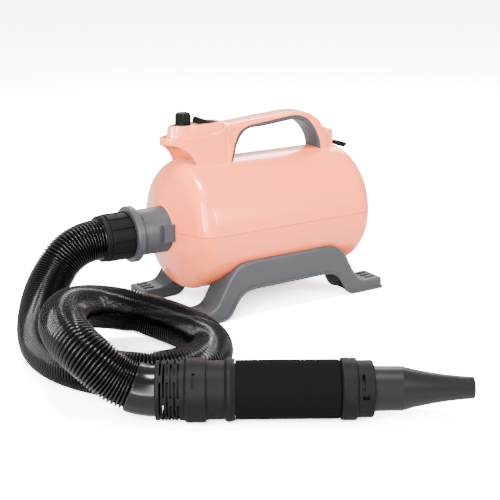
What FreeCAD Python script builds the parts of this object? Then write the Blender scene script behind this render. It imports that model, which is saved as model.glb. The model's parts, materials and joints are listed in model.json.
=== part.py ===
"""High-velocity pet dryer: a horizontal drum body on a four-legged base, with a hose and a hand wand.

Units are millimetres and +Z is up. The dryer itself is modelled about its own reference: X runs along
the drum from the air outlet (-X) to the air inlet (+X), y = 0 is the drum's middle plane and z = 0 is
the floor. Everything is then placed so that the origin is on the floor, under the middle of the whole
layout (the dryer and the wand that lies in front of it).
"""
import FreeCAD, Part
import math
import os
import re
import Sketcher

os.makedirs("parts", exist_ok=True)
doc = FreeCAD.newDocument("pet_dryer")
sizes = doc.addObject("Spreadsheet::Sheet", "sizes")
Vector = FreeCAD.Vector
nodes = []

# ---------------------------------------------------------------- driving dimensions
ROWS = [
    ("DryerX", 67.5, "dryer's reference from the origin, along X"),
    ("DryerY", 175, "dryer's reference from the origin, along Y"),
    ("FitGap", 0.3, "clearance round a piece that is pushed in or slides"),
    ("SeatGap", 0.15, "clearance between shaped surfaces that are screwed together"),
    ("RunGap", 0.05, "radial clearance of a shaft that turns in its bore"),
    # drum
    ("DrumRadius", 75, "outer radius of the drum"),
    ("DrumHeight", 100, "height of the drum's axis above the floor"),
    ("DrumWall", 2.6, "wall of the two shells"),
    ("NoseStart", -94, "x where the front rounding begins"),
    ("NoseCorner", 22, "radius of the front rounding"),
    ("NoseTurn", 71, "degrees that the front rounding turns before the front cone"),
    ("TailStart", 107, "x where the rear rounding begins"),
    ("TailCorner", 22, "radius of the rear rounding"),
    ("TailTurn", 60, "degrees that the rear rounding turns before the rear dome"),
    ("TailDome", 90, "radius of the rear dome's section"),
    ("BossRadius", 5, "outer radius of a screw boss in the shells"),
    ("BossReach", 62, "distance of the shell screws from the middle plane"),
    ("BossDepth", 34, "height of a screw boss from the split"),
    ("ShellScrewRadius", 1.5, "thread radius of the shell screws"),
    ("ShellScrewHead", 3, "head radius of the shell screws"),
    # outlet
    ("NeckRadius", 26.6, "outer radius of the outlet neck"),
    ("NeckBore", 23.6, "bore of the outlet neck"),
    ("NeckReach", -171.6, "x of the outlet ring's front face"),
    ("RingRadius", 32.4, "outer radius of the outlet ring"),
    ("RingWidth", 9, "width of the outlet ring"),
    ("LugReach", 32, "distance of the side lugs' faces from the middle plane"),
    ("LugTop", 12.5, "height of a side lug's top above the drum's axis"),
    ("LugDrop", 7.5, "depth of a side lug's underside below the drum's axis"),
    ("LugStart", -140, "x of the lugs' front faces"),
    ("LugLength", 13.2, "length of a side lug"),
    # hose and its ends
    ("HoseRadius", 23, "outer radius of the hose"),
    ("HoseBore", 19, "inner radius of the hose"),
    ("CuffRadius", 27.2, "outer radius of the hose cuff over its ribs"),
    ("CuffLength", 35.4, "length of the hose cuff"),
    ("SpigotLength", 22, "length of the cuff's spigot in the neck"),
    ("RibDepth", 1.2, "depth of the flutes between the cuff's ribs"),
    # wand, measured along its own axis from the hose end
    ("WandHeight", 30, "height of the wand's axis above the floor"),
    ("WandTurn", -31.5, "degrees that the wand's axis is turned from X"),
    ("WandX", -277, "wand's hose end, along X from the dryer's reference"),
    ("WandY", -262, "wand's hose end, along Y from the dryer's reference"),
    ("SleeveRadius", 27.8, "outer radius of the slotted sleeve"),
    ("SleeveLength", 27, "length of the slotted sleeve"),
    ("CollarRadius", 30, "outer radius of the connector's collar"),
    ("CollarLength", 20, "length of the connector's collar"),
    ("WaistRadius", 27.3, "outer radius of the connector's waist"),
    ("WaistLength", 16.5, "length of the connector's waist"),
    ("FlareRadius", 29.7, "outer radius of the connector's flare"),
    ("FlareLength", 9.9, "length of the connector's flare"),
    ("GripRadius", 27.6, "outer radius of the foam grip"),
    ("GripLength", 97.8, "length of the foam grip"),
    ("TubeRadius", 24, "outer radius of the wand's tube"),
    ("TubeBore", 21.8, "bore of the wand's tube"),
    ("LockRadius", 29.1, "outer radius of the lock ring"),
    ("LockLength", 15, "length of the lock ring"),
    ("SocketRadius", 26.6, "outer radius of the nozzle socket"),
    ("SocketLength", 15, "length of the nozzle socket"),
    ("NozzleRadius", 21.2, "outer radius of the nozzle's straight part"),
    ("NozzleStraight", 26.6, "length of the nozzle's straight part"),
    ("NozzleTaper", 67.7, "length of the nozzle's taper"),
    ("TipRadius", 10.3, "outer radius of the nozzle's tip"),
    ("NozzleWall", 1.8, "wall of the nozzle"),
    ("NozzleSpigot", 13, "length of the nozzle's spigot in its socket"),
    ("OutletBore", 12, "length of the straight air outlet in the nozzle's tip"),
    # base
    ("BaseX", 5, "x of the base's middle"),
    ("BaseWidth", 147.4, "width of the base over its side panels"),
    ("LegWidth", 37, "width of each leg"),
    ("BaseTop", 67, "height of the side panels' upper edges"),
    ("ArchHeight", 33, "height of the arch between the legs"),
    ("FootTop", 14, "height of the feet's upper faces"),
    ("FootReach", 137.2, "distance of the toes from the base's middle"),
    ("LegSlope", 60, "degrees that the legs slope from the floor"),
    ("ShoulderStart", 56, "distance from the base's middle where the upper edge bends down"),
    ("ShoulderBend", 30, "radius of that bend"),
    ("AnkleBend", 15, "radius of the bend from a leg into its foot"),
    ("ArchStart", 54, "distance from the base's middle where the arch bends down"),
    ("ArchBend", 18, "radius of that bend"),
    ("HeelBend", 16, "radius of the bend from the arch into the sole"),
    ("SoleGap", 0.8, "height of the base's lower edge above the floor"),
    ("BaseWall", 3, "wall of the base"),
    ("LipProud", 2, "how far the base's lower lip stands out"),
    ("LipHeight", 3, "height of the base's lower lip"),
    ("SaddleWall", 3.8, "wall of the saddle under the drum"),
    ("SaddleLength", 100, "length of the saddle"),
    # control head and handle
    ("HeadHalf", 19, "half width of the control head"),
    ("HeadNose", -125.3, "x of the control head's nose"),
    ("HeadBack", -42, "x of the control head's rear wall"),
    ("RimHeight", 206.5, "height of the control head's rim at the nose"),
    ("RimRise", 8, "rise of the rim from the nose to the handle"),
    ("RimBend", 155, "radius of the rim's upward sweep"),
    ("HeadWall", 3.2, "wall of the control head at its rim"),
    ("HeadShoulder", -90, "x where the head's sides begin to close towards the nose"),
    ("HeadBend", 55, "radius of the head's sides towards the nose"),
    ("ScoopX", -123, "x of the middle of the scoop under the nose"),
    ("ScoopHeight", 164, "height of the middle of the scoop under the nose"),
    ("ScoopRadius", 35, "radius of the scoop under the nose"),
    ("PanelFloor", 202, "height of the ledge that the panel rests on"),
    ("PanelTop", 219, "height of the panel's face"),
    ("PanelWall", 2, "wall of the panel"),
    ("KnobX", -96, "x of the speed knob"),
    ("KnobRadius", 9.4, "radius of the speed knob"),
    ("KnobHeight", 13.5, "height of the speed knob"),
    ("RockerX", -66.5, "x of the power switch"),
    ("RockerLength", 26, "length of the rocker"),
    ("RockerWidth", 15.5, "width of the rocker"),
    ("HandleWidth", 32, "width of the handle"),
    ("HandleTop", 223, "height of the handle's crown"),
    ("HandleCrown", 51, "x of the handle's crown"),
    ("HandleBend", 49, "radius of the handle's rear bend"),
    ("LinerWall", 2.6, "wall of the handle's liner on the legs"),
    ("LinerGrip", 5, "wall of the handle's liner under the grip"),
    # rear cover and its latch
    ("CoverRadius", 52, "radius of the rear cover"),
    ("CoverWall", 2.4, "wall of the rear cover"),
    ("CoverBulge", 7, "bulge of the rear cover's face"),
    ("SkirtDepth", 14, "depth of the rear cover's skirt"),
    ("FilterThickness", 9, "thickness of the air filter"),
    ("LatchWidth", 18, "width of the cover latch"),
    ("LatchPinX", 107, "x of the cover latch's pin"),
    ("LatchPinZ", 178.2, "height of the cover latch's pin"),
    ("LatchPinRadius", 1, "radius of the cover latch's pin"),
    ("LatchBlockTop", 195, "height of the block that holds the latch"),
    ("GlandRadius", 6, "radius of the mains cord gland"),
    ("GlandDrop", 60, "depth of the cord gland below the drum's axis"),
    ("CordHole", 3.6, "radius of the hole through the gland"),
    # motor and fan
    ("ShaftRadius", 4, "radius of the rotor's shaft"),
    ("BarrelRadius", 42.5, "outer radius of the motor's barrel"),
    ("BarrelWall", 2.5, "wall of the motor's barrel"),
    ("StatorLength", 24, "length of the stator stack"),
    ("AirGap", 1, "gap between the stator and the armature"),
    ("ArmatureRadius", 23.5, "radius of the armature"),
    ("FanRadius", 50, "radius of the impeller"),
    ("FanCaseRadius", 58, "outer radius of the fan case"),
    ("FanCaseWall", 2, "wall of the fan case"),
    ("FoamWall", 11, "thickness of the silencer foam"),
]
for row, (alias, number, note) in enumerate(ROWS, start=1):
    sizes.set(f"A{row}", alias)
    sizes.set(f"B{row}", str(number))
    sizes.setAlias(f"B{row}", alias)
    sizes.set(f"C{row}", note)
doc.recompute()

# The wand's stations along its own axis, from the hose end
SLEEVE_END = "SleeveLength"
COLLAR_END = f"({SLEEVE_END} + CollarLength)"
WAIST_END = f"({COLLAR_END} + WaistLength)"
FLARE_END = f"({WAIST_END} + FlareLength)"
GRIP_END = f"({FLARE_END} + GripLength)"
LOCK_END = f"({GRIP_END} + LockLength)"
SOCKET_END = f"({LOCK_END} + SocketLength)"
NOZZLE_BEND = f"({SOCKET_END} + NozzleStraight)"
NOZZLE_TIP = f"({NOZZLE_BEND} + NozzleTaper)"
# The motor's stations along the drum's axis
BULKHEAD_X = "98.5"
FAN_BACK = "98"
FAN_FRONT = "60"
STATOR_X = "16"


# ---------------------------------------------------------------- modelling helpers
def size(text):
    """The value of an expression in the sheet's sizes."""
    return float(sizes.evalExpression(str(text)))


def bound(text):
    """An expression for setExpression, with each alias read from the sheet."""
    return re.sub(r"\b([A-Z][A-Za-z]+)\b", r"sizes.\1", str(text))


def dryer_place(height="0", along="0", across="0"):
    """A placement measured from the dryer's reference."""
    spot = (size(f"DryerX + {along}"), size(f"DryerY + {across}"), size(height))
    return FreeCAD.Placement(Vector(*spot), FreeCAD.Rotation())


def drum_place():
    """The drum's axis, where round pieces of the drum are revolved."""
    return dryer_place("DrumHeight")


def wand_place():
    """The wand's axis, starting at its hose end."""
    spot = (size("DryerX + WandX"), size("DryerY + WandY"), size("WandHeight"))
    return FreeCAD.Placement(Vector(*spot), FreeCAD.Rotation(Vector(0, 0, 1), size("WandTurn")))


def new_body(label, placement):
    body = doc.addObject("PartDesign::Body", label)
    body.Label = label
    body.Placement = placement
    nodes.append(body)
    return body


def new_sketch(body, plane, offset=None, turn=None):
    """A sketch on one of the body's origin planes, moved off it by an expression or turned about X."""
    sketch = body.newObject("Sketcher::SketchObject", f"{body.Label}_sketch")
    face = [item for item in body.Origin.OriginFeatures if item.Role == f"{plane}_Plane"][0]
    sketch.AttachmentSupport = [(face, "")]
    sketch.MapMode = "FlatFace"
    if turn is not None:
        sketch.AttachmentOffset = FreeCAD.Placement(Vector(), FreeCAD.Rotation(Vector(1, 0, 0), turn))
    if offset is not None:
        sketch.setExpression("AttachmentOffset.Base.z", bound(offset))
    return sketch


def arc_between(start, end, radius):
    """The arc from start to end; a positive radius turns left, a negative one turns right."""
    chord = end - start
    middle = (start + end) * 0.5
    side = Vector(-chord.y, chord.x, 0).normalize() * (1 if radius > 0 else -1)
    rise = math.sqrt(max(radius * radius - chord.Length ** 2 / 4, 0))
    centre = middle + side * rise
    first, last = (start, end) if radius > 0 else (end, start)
    begin = math.atan2(first.y - centre.y, first.x - centre.x)
    finish = math.atan2(last.y - centre.y, last.x - centre.x)
    if finish <= begin:
        finish += 2 * math.pi
    circle = Part.Circle(centre, Vector(0, 0, 1), abs(radius))
    return Part.ArcOfCircle(circle, begin, finish)


def outline(sketch, points):
    """A closed outline. Each point is (x, y), or (x, y, radius) when an arc leaves it for the next."""
    spots = [Vector(size(point[0]), size(point[1]), 0) for point in points]
    total = len(points)
    ends = []
    for index, point in enumerate(points):
        start, end = spots[index], spots[(index + 1) % total]
        if len(point) == 2:
            edge = sketch.addGeometry(Part.LineSegment(start, end))
            ends.append((edge, 1, 2))
            continue
        edge = sketch.addGeometry(arc_between(start, end, size(point[2])))
        left_turn = size(point[2]) > 0
        ends.append((edge, 1, 2) if left_turn else (edge, 2, 1))
        fixed = sketch.addConstraint(Sketcher.Constraint("Radius", edge, abs(size(point[2]))))
        sketch.setExpression(f"Constraints[{fixed}]", bound(f"abs({point[2]})"))
    for index, point in enumerate(points):
        edge, first, last = ends[index]
        following, next_first, _ = ends[(index + 1) % total]
        sketch.addConstraint(Sketcher.Constraint("Coincident", edge, last, following, next_first))
        for kind, text, number in (("DistanceX", point[0], spots[index].x), ("DistanceY", point[1], spots[index].y)):
            fixed = sketch.addConstraint(Sketcher.Constraint(kind, -1, 1, edge, first, number))
            sketch.setExpression(f"Constraints[{fixed}]", bound(text))
    return sketch


def circle(sketch, x, y, radius):
    """A circle whose centre and radius follow the sheet."""
    edge = sketch.addGeometry(Part.Circle(Vector(size(x), size(y), 0), Vector(0, 0, 1), size(radius)))
    for kind, text in (("DistanceX", x), ("DistanceY", y)):
        fixed = sketch.addConstraint(Sketcher.Constraint(kind, -1, 1, edge, 3, size(text)))
        sketch.setExpression(f"Constraints[{fixed}]", bound(text))
    fixed = sketch.addConstraint(Sketcher.Constraint("Radius", edge, size(radius)))
    sketch.setExpression(f"Constraints[{fixed}]", bound(radius))
    return sketch


def rectangle(x0, y0, x1, y1):
    """The four corners of a rectangle."""
    return [(x0, y0), (x1, y0), (x1, y1), (x0, y1)]


def pad(sketch, length, symmetric=False, backwards=False):
    """A pad; its length is an expression."""
    feature = sketch.getParentGeoFeatureGroup().newObject("PartDesign::Pad", f"{sketch.Name}_pad")
    feature.Profile = sketch
    feature.setExpression("Length", bound(length))
    feature.SideType = "Symmetric" if symmetric else "One side"
    feature.Reversed = backwards
    return feature


def pocket(sketch, length, symmetric=False, backwards=False):
    """A pocket; its length is an expression. The removed volume is checked when the model is done."""
    feature = sketch.getParentGeoFeatureGroup().newObject("PartDesign::Pocket", f"{sketch.Name}_pocket")
    feature.Profile = sketch
    feature.setExpression("Length", bound(length))
    feature.SideType = "Symmetric" if symmetric else "One side"
    feature.Reversed = backwards
    return feature


def revolve(sketch, angle=360, backwards=False):
    """A revolution about the body's X axis."""
    feature = sketch.getParentGeoFeatureGroup().newObject("PartDesign::Revolution", f"{sketch.Name}_turned")
    feature.Profile = sketch
    feature.ReferenceAxis = (sketch, ["H_Axis"])
    feature.Angle = angle
    feature.Reversed = backwards
    return feature


def groove(sketch, angle=360):
    """A groove about the body's X axis, centred on the sketch."""
    feature = sketch.getParentGeoFeatureGroup().newObject("PartDesign::Groove", f"{sketch.Name}_groove")
    feature.Profile = sketch
    feature.ReferenceAxis = (sketch, ["H_Axis"])
    feature.Angle = angle
    feature.Midplane = True
    return feature


def repeat_round(body, features, count):
    """Repeats features round the body's X axis."""
    doc.recompute()
    pattern = body.newObject("PartDesign::PolarPattern", f"{body.Label}_round")
    pattern.Originals = features
    axis = [item for item in body.Origin.OriginFeatures if item.Role == "X_Axis"][0]
    pattern.Axis = (axis, [""])
    pattern.Angle = 360
    pattern.Occurrences = count
    body.Tip = pattern
    return pattern


def turned(label, placement, points):
    """A body of revolution about X, from (x, radius) points."""
    body = new_body(label, placement)
    revolve(outline(new_sketch(body, "XZ"), points))
    return body


def ring(label, placement, start, end, inner, outer):
    """A plain ring about X."""
    return turned(label, placement, rectangle(start, inner, end, outer))


def block(body, x0, x1, y0, y1, z0, z1, cut=False):
    """A box in the body, added or cut away, between expressions."""
    sketch = outline(new_sketch(body, "XY", offset=z0), rectangle(x0, y0, x1, y1))
    return pocket(sketch, f"{z1} - ({z0})", backwards=True) if cut else pad(sketch, f"{z1} - ({z0})")


def copies(label, seed, places):
    """One node of equal, separate solids: the seed's shape at each place."""
    doc.recompute()
    feature = doc.addObject("Part::Feature", label)
    feature.Label = label
    solids = []
    for place in places:
        solid = seed.Shape.copy()
        solid.Placement = place.multiply(solid.Placement)
        solids.append(solid)
    feature.Shape = Part.makeCompound(solids)
    nodes.append(feature)
    return feature


def screw(name, head, thread, head_height, length):
    """A screw standing on its head at the origin, its thread pointing up."""
    top = doc.addObject("Part::Cylinder", f"{name}_head")
    top.setExpression("Radius", bound(head))
    top.setExpression("Height", bound(head_height))
    stem = doc.addObject("Part::Cylinder", f"{name}_stem")
    stem.setExpression("Radius", bound(thread))
    stem.setExpression("Height", bound(length))
    whole = doc.addObject("Part::Fuse", name)
    whole.Base = top
    whole.Tool = stem
    doc.recompute()
    return whole


# ---------------------------------------------------------------- drum shells
def shell_outline(hole_front, hole_rear):
    """Half section of the drum's wall, from the neck hole round to the rear cover's hole."""
    front_x = "(NoseStart - NoseCorner * sin(NoseTurn * 1 deg))"
    front_r = "(DrumRadius - NoseCorner * (1 - cos(NoseTurn * 1 deg)))"
    inner_front_x = "(NoseStart - (NoseCorner - DrumWall) * sin(NoseTurn * 1 deg))"
    inner_front_r = "(DrumRadius - NoseCorner + (NoseCorner - DrumWall) * cos(NoseTurn * 1 deg))"
    rear_x = "(TailStart + TailCorner * sin(TailTurn * 1 deg))"
    rear_r = "(DrumRadius - TailCorner * (1 - cos(TailTurn * 1 deg)))"
    inner_rear_x = "(TailStart + (TailCorner - DrumWall) * sin(TailTurn * 1 deg))"
    inner_rear_r = "(DrumRadius - TailCorner + (TailCorner - DrumWall) * cos(TailTurn * 1 deg))"
    return [
        (f"{front_x} - ({front_r} - ({hole_front})) / tan(NoseTurn * 1 deg)", hole_front),
        (front_x, front_r, "-NoseCorner"),
        ("NoseStart", "DrumRadius"),
        ("TailStart", "DrumRadius", "-TailCorner"),
        (rear_x, rear_r, "-TailDome"),
        (dome_x(hole_rear, "0"), hole_rear),
        (dome_x(hole_rear, "DrumWall"), hole_rear, "TailDome - DrumWall"),
        (inner_rear_x, inner_rear_r, "TailCorner - DrumWall"),
        ("TailStart", "DrumRadius - DrumWall"),
        ("NoseStart", "DrumRadius - DrumWall", "NoseCorner - DrumWall"),
        (inner_front_x, inner_front_r),
        (f"{inner_front_x} - ({inner_front_r} - ({hole_front})) / tan(NoseTurn * 1 deg)", hole_front),
    ]


def dome_x(radius, inset):
    """x of the rear dome's surface, moved inwards by inset, at a distance from the axis."""
    centre_x = "(TailStart + (TailCorner - TailDome) * sin(TailTurn * 1 deg))"
    centre_r = "(DrumRadius - TailCorner + (TailCorner - TailDome) * cos(TailTurn * 1 deg))"
    return f"({centre_x} + sqrt((TailDome - {inset}) ^ 2 - ({radius} - {centre_r}) ^ 2))"


BOSS_X = ("NoseStart + 7", "-15", "TailStart + 3")
NECK_HOLE = "NeckRadius + FitGap"
COVER_HOLE = "CoverRadius + FitGap"
SCREW_SEAT = "(BossDepth - 6)"
BASE_SCREWS = [(x, y) for x in ("BaseX - 20", "BaseX + 40") for y in ("12", "-12")]
NECK_SHOULDER = "(NoseStart - NoseCorner - 2.5)"


def half_shell(label, lower):
    """One half of the drum, with a screw boss at each shell screw."""
    body = new_body(label, drum_place())
    revolve(outline(new_sketch(body, "XY"), shell_outline(NECK_HOLE, COVER_HOLE)), 180, backwards=lower)
    for x in BOSS_X:
        for side in ("", "-"):
            pad(circle(new_sketch(body, "XY"), x, f"{side}BossReach", "BossRadius"), "BossDepth", backwards=lower)
            hole = circle(new_sketch(body, "XY"), x, f"{side}BossReach", "ShellScrewRadius + RunGap")
            pocket(hole, SCREW_SEAT, backwards=not lower)
    return body


def make_lower_shell():
    body = half_shell("lower_shell", lower=True)
    for x in BOSS_X:
        for side in ("", "-"):
            sketch = new_sketch(body, "XY", offset=f"-{SCREW_SEAT}")
            pocket(circle(sketch, x, f"{side}BossReach", "ShellScrewHead + FitGap"), "DrumRadius")
    for x, y in BASE_SCREWS:
        pocket(circle(new_sketch(body, "XY"), x, y, "2 + RunGap"), "DrumRadius + 5")
    gland = circle(new_sketch(body, "YZ", offset="TailStart"), "0", "-GlandDrop", "GlandRadius + RunGap")
    pocket(gland, "40", backwards=True)


def make_upper_shell():
    body = half_shell("upper_shell", lower=False)
    # the block behind the handle, with a slot for the cover latch and a bore for its pin
    block(body, "HandleCrown + HandleBend + SeatGap", "LatchPinX + 5", "-LatchWidth / 2 - 2.5", "LatchWidth / 2 + 2.5",
          "DrumRadius - 2", "LatchBlockTop - DrumHeight")
    floor_z = "LatchPinZ - DrumHeight - 2.8"
    slot = rectangle("LatchPinX - 5", floor_z, "LatchPinX + 20", "LatchPinZ - DrumHeight + 7")
    pocket(outline(new_sketch(body, "XZ"), slot), "LatchWidth + 2 * FitGap", symmetric=True)
    pin = circle(new_sketch(body, "XZ"), "LatchPinX", "LatchPinZ - DrumHeight", "LatchPinRadius + RunGap")
    pocket(pin, "LatchWidth + 3", symmetric=True)
    # wires pass from the drum into the control head
    block(body, "RockerX - 8", "RockerX + 8", "-7", "7", "DrumRadius - 10", "DrumRadius + 5", cut=True)


def make_shell_screws():
    seed = screw("shell_screw", "ShellScrewHead", "ShellScrewRadius", "2.5", "BossDepth + 4")
    places = []
    for x in BOSS_X:
        for side in (1, -1):
            places.append(dryer_place(f"DrumHeight - {SCREW_SEAT} - 2.5", x, f"{side} * BossReach"))
    copies("shell_screws", seed, places)


# ---------------------------------------------------------------- outlet, hose and wand
LUG_SCREW_Y = "(NeckRadius + 1.6)"
LUG_X = "LugStart + LugLength / 2"


def make_outlet():
    """The outlet neck with its ring and side lugs, held in the front of the shells."""
    body = new_body("outlet_neck", drum_place())
    ring_back = "(NeckReach + RingWidth)"
    points = [
        ("NeckReach", "NeckBore"), ("NeckReach", "RingRadius - 1.5"), ("NeckReach + 1.5", "RingRadius"),
        (f"{ring_back} - 1.5", "RingRadius"), (ring_back, "RingRadius - 1.5"), (ring_back, "NeckRadius"),
        (NECK_SHOULDER, "NeckRadius"), (NECK_SHOULDER, "NeckRadius + 6"),
        (f"{NECK_SHOULDER} + 3", "NeckRadius + 6"), (f"{NECK_SHOULDER} + 3", "NeckBore"),
    ]
    revolve(outline(new_sketch(body, "XZ"), points))
    for near, far in (("-LugReach", "-NeckBore - 2"), ("NeckBore + 2", "LugReach")):
        block(body, "LugStart", "LugStart + LugLength", near, far, "-LugDrop", "LugTop")
    for side in ("", "-"):
        for radius, depth in (("1.6", "8.5"), ("2.9", "2.5")):
            sketch = new_sketch(body, "XY", offset="LugTop")
            pocket(circle(sketch, LUG_X, f"{side}{LUG_SCREW_Y}", radius), depth)
    # arc slot for the cuff's bayonet, just behind the ring on the near shoulder
    sketch = new_sketch(body, "XZ", turn=22)
    outline(sketch, rectangle(f"{ring_back} + 1", "NeckBore - 1", f"{ring_back} + 3.2", "NeckRadius + 1"))
    groove(sketch, 44)


def make_lug_screws():
    seed = screw("lug_screw", "2.7", "1.5", "2", "7.5")
    places = []
    for side in (1, -1):
        place = dryer_place("DrumHeight + LugTop - 0.5", LUG_X, f"{side} * {LUG_SCREW_Y}")
        place.Rotation = FreeCAD.Rotation(Vector(1, 0, 0), 180)
        places.append(place)
    copies("lug_screws", seed, places)


def make_cuff():
    """The fluted cuff on the hose's dryer end, whose spigot turns in the neck."""
    body = new_body("hose_cuff", drum_place())
    far_end = "(NeckReach - CuffLength)"
    face = "(NeckReach - FitGap)"
    points = [
        (far_end, "HoseBore + 1"), (far_end, "CuffRadius - 1"), (f"{far_end} + 1", "CuffRadius"),
        (face, "CuffRadius"), (face, "NeckBore - FitGap"),
        ("NeckReach + SpigotLength", "NeckBore - FitGap"), ("NeckReach + SpigotLength", "HoseBore + 1"),
    ]
    revolve(outline(new_sketch(body, "XZ"), points))
    sketch = new_sketch(body, "YZ", offset=f"{far_end} + 4")
    flute = outline(sketch, rectangle("-3.2", "CuffRadius - RibDepth", "3.2", "CuffRadius + 1"))
    cut = pocket(flute, "CuffLength", backwards=True)
    repeat_round(body, [cut], 12)


HOSE_ROUTE = [
    (-207, 0, 100), (-238, 0, 100), (-273, -5, 62), (-297, -34, 36), (-313, -73, 24), (-318, -116, 23),
    (-306, -160, 23), (-281, -198, 23), (-246, -221, 24), (-205, -219, 23), (-170, -190, 23),
    (-162, -148, 24), (-179, -106, 31), (-212, -79, 41), (-250, -79, 53), (-285, -101, 64),
    (-313, -138, 72), (-331, -179, 74), (-331, -221, 66), (-297.5, -249.5, 30), (-277, -262, 30),
]


def route_wire(points):
    """Straight runs joined by tangent arcs, each as large as its two runs allow."""
    edges = []
    length = 0
    last = points[0]
    for before, corner, after in zip(points, points[1:], points[2:]):
        back, ahead = before - corner, after - corner
        half_turn = (math.pi - back.getAngle(ahead)) / 2
        reach = 0.45 * min(back.Length, ahead.Length)
        radius = reach / math.tan(half_turn)
        print(f"hose bend at {tuple(corner)}: {math.degrees(2 * half_turn):.0f} degrees, radius {radius:.0f} mm")
        start = corner + back.normalize() * reach
        end = corner + ahead.normalize() * reach
        inward = ((start + end) * 0.5 - corner).normalize()
        peak = corner + inward * (radius / math.cos(half_turn) - radius)
        edges.append(Part.LineSegment(last, start).toShape())
        edges.append(Part.Arc(start, peak, end).toShape())
        length += last.distanceToPoint(start) + 2 * half_turn * radius
        last = end
    edges.append(Part.LineSegment(last, points[-1]).toShape())
    length += last.distanceToPoint(points[-1])
    return Part.Wire(edges), length


def make_hose():
    """The corrugated hose as a plain tube along its route, from the cuff to the sleeve."""
    shift = Vector(size("DryerX"), size("DryerY"), 0)
    points = [Vector(*spot) + shift for spot in HOSE_ROUTE]
    wire, length = route_wire(points)
    start = points[0]
    direction = points[1] - points[0]
    skins = []
    for radius in (size("HoseRadius"), size("HoseBore")):
        profile = Part.Wire(Part.Circle(start, direction, radius).toShape())
        skins.append(wire.makePipeShell([profile], True, False))
    tube = skins[0].cut(skins[1])
    section = math.pi * (size("HoseRadius") ** 2 - size("HoseBore") ** 2)
    print(f"hose length {length:.0f} mm, volume over section times length {tube.Volume / (section * length):.4f}")
    hose = doc.addObject("Part::Feature", "hose")
    hose.Label = "hose"
    hose.Shape = tube
    nodes.append(hose)


def make_sleeve():
    """The slotted sleeve that grips the hose's wand end."""
    points = [
        ("0", "HoseBore + 1"), ("0", "SleeveRadius - 1"), ("1", "SleeveRadius"),
        (f"{SLEEVE_END} - FitGap", "SleeveRadius"), (f"{SLEEVE_END} - FitGap", "TubeRadius + FitGap"),
        ("2", "TubeRadius + FitGap"), ("2", "HoseBore + 1"),
    ]
    body = turned("hose_end_sleeve", wand_place(), points)
    for row in range(6):
        sketch = new_sketch(body, "XZ", turn=45 * (row % 2))
        start = f"4 + {row} * (SleeveLength - 7) / 6"
        outline(sketch, rectangle(start, "TubeRadius - 1", f"{start} + 2", "SleeveRadius + 1"))
        repeat_round(body, [groove(sketch, 76)], 4)


def make_wand():
    """The hand wand: connector, tube, foam grip, lock ring, nozzle socket and nozzle."""
    spigot_radius = "TubeRadius"
    connector = turned("wand_connector", wand_place(), [
        ("SleeveLength - 17", "HoseBore + 1.5"), ("SleeveLength - 17", spigot_radius),
        (SLEEVE_END, spigot_radius), (SLEEVE_END, "CollarRadius - 1.6"), (f"{SLEEVE_END} + 1.6", "CollarRadius"),
        (f"{COLLAR_END} - 1", "CollarRadius"), (COLLAR_END, "CollarRadius - 1"), (COLLAR_END, "WaistRadius"),
        (WAIST_END, "WaistRadius"), (f"{WAIST_END} + 2.4", "FlareRadius"), (f"{FLARE_END} - 4.5", "FlareRadius"),
        (FLARE_END, "FlareRadius - 1.3"), (FLARE_END, "TubeRadius + SeatGap"),
        (f"{WAIST_END} + 1", "TubeRadius + SeatGap"), (f"{WAIST_END} + 1", "HoseBore + 1.5"),
    ])
    window = new_sketch(connector, "XZ", turn=51)
    outline(window, rectangle(f"{SLEEVE_END} + 7", "CollarRadius - 2", f"{SLEEVE_END} + 9.8", "CollarRadius + 1"))
    groove(window, 28)
    ring("wand_tube", wand_place(), f"{WAIST_END} + 1 + FitGap", f"{LOCK_END} - FitGap", "TubeBore", "TubeRadius")
    turned("foam_grip", wand_place(), [
        (f"{FLARE_END} + FitGap", "TubeRadius + SeatGap"), (f"{FLARE_END} + FitGap", "GripRadius"),
        (f"{GRIP_END} - 2.5", "GripRadius"), (f"{GRIP_END} - FitGap", "GripRadius - 1.5"),
        (f"{GRIP_END} - FitGap", "TubeRadius + SeatGap"),
    ])
    lock = turned("lock_ring", wand_place(), [
        (GRIP_END, "TubeRadius + SeatGap"), (GRIP_END, "LockRadius - 1"), (f"{GRIP_END} + 1", "LockRadius"),
        (f"{LOCK_END} - 1.5", "LockRadius"), (f"{LOCK_END} - FitGap", "LockRadius - 1.5"),
        (f"{LOCK_END} - FitGap", "TubeRadius + SeatGap"),
    ])
    thumb = new_sketch(lock, "XZ", turn=83)
    outline(thumb, rectangle(f"{GRIP_END} + 2", "LockRadius - 1", f"{LOCK_END} - 2", "LockRadius + 0.8"))
    pad_round(thumb, 34)
    socket = turned("nozzle_socket", wand_place(), [
        (LOCK_END, "TubeBore"), (LOCK_END, "SocketRadius"), (f"{SOCKET_END} - 1", "SocketRadius"),
        (SOCKET_END, "SocketRadius - 1"), (SOCKET_END, "NozzleRadius + FitGap"),
        (f"{LOCK_END} + 1.2", "NozzleRadius + FitGap"), (f"{LOCK_END} + 1.2", "TubeBore"),
    ])
    for start, end, turn, angle in (("3", "5.6", "55", 34), ("3", "9.5", "84", 12)):
        slot = new_sketch(socket, "XZ", turn=float(turn))
        outline(slot, rectangle(f"{LOCK_END} + {start}", "NozzleRadius", f"{LOCK_END} + {end}", "SocketRadius + 1"))
        groove(slot, angle)
    turned("nozzle", wand_place(), [
        (f"{SOCKET_END} - NozzleSpigot", "NozzleRadius - NozzleWall"), (f"{SOCKET_END} - NozzleSpigot", "NozzleRadius"),
        (NOZZLE_BEND, "NozzleRadius - 0.5", "5 * NozzleTaper"), (NOZZLE_TIP, "TipRadius"),
        (NOZZLE_TIP, "TipRadius - NozzleWall"), (f"{NOZZLE_TIP} - OutletBore", "TipRadius - NozzleWall"),
        (NOZZLE_BEND, "NozzleRadius - 0.5 - NozzleWall"),
    ])


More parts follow.
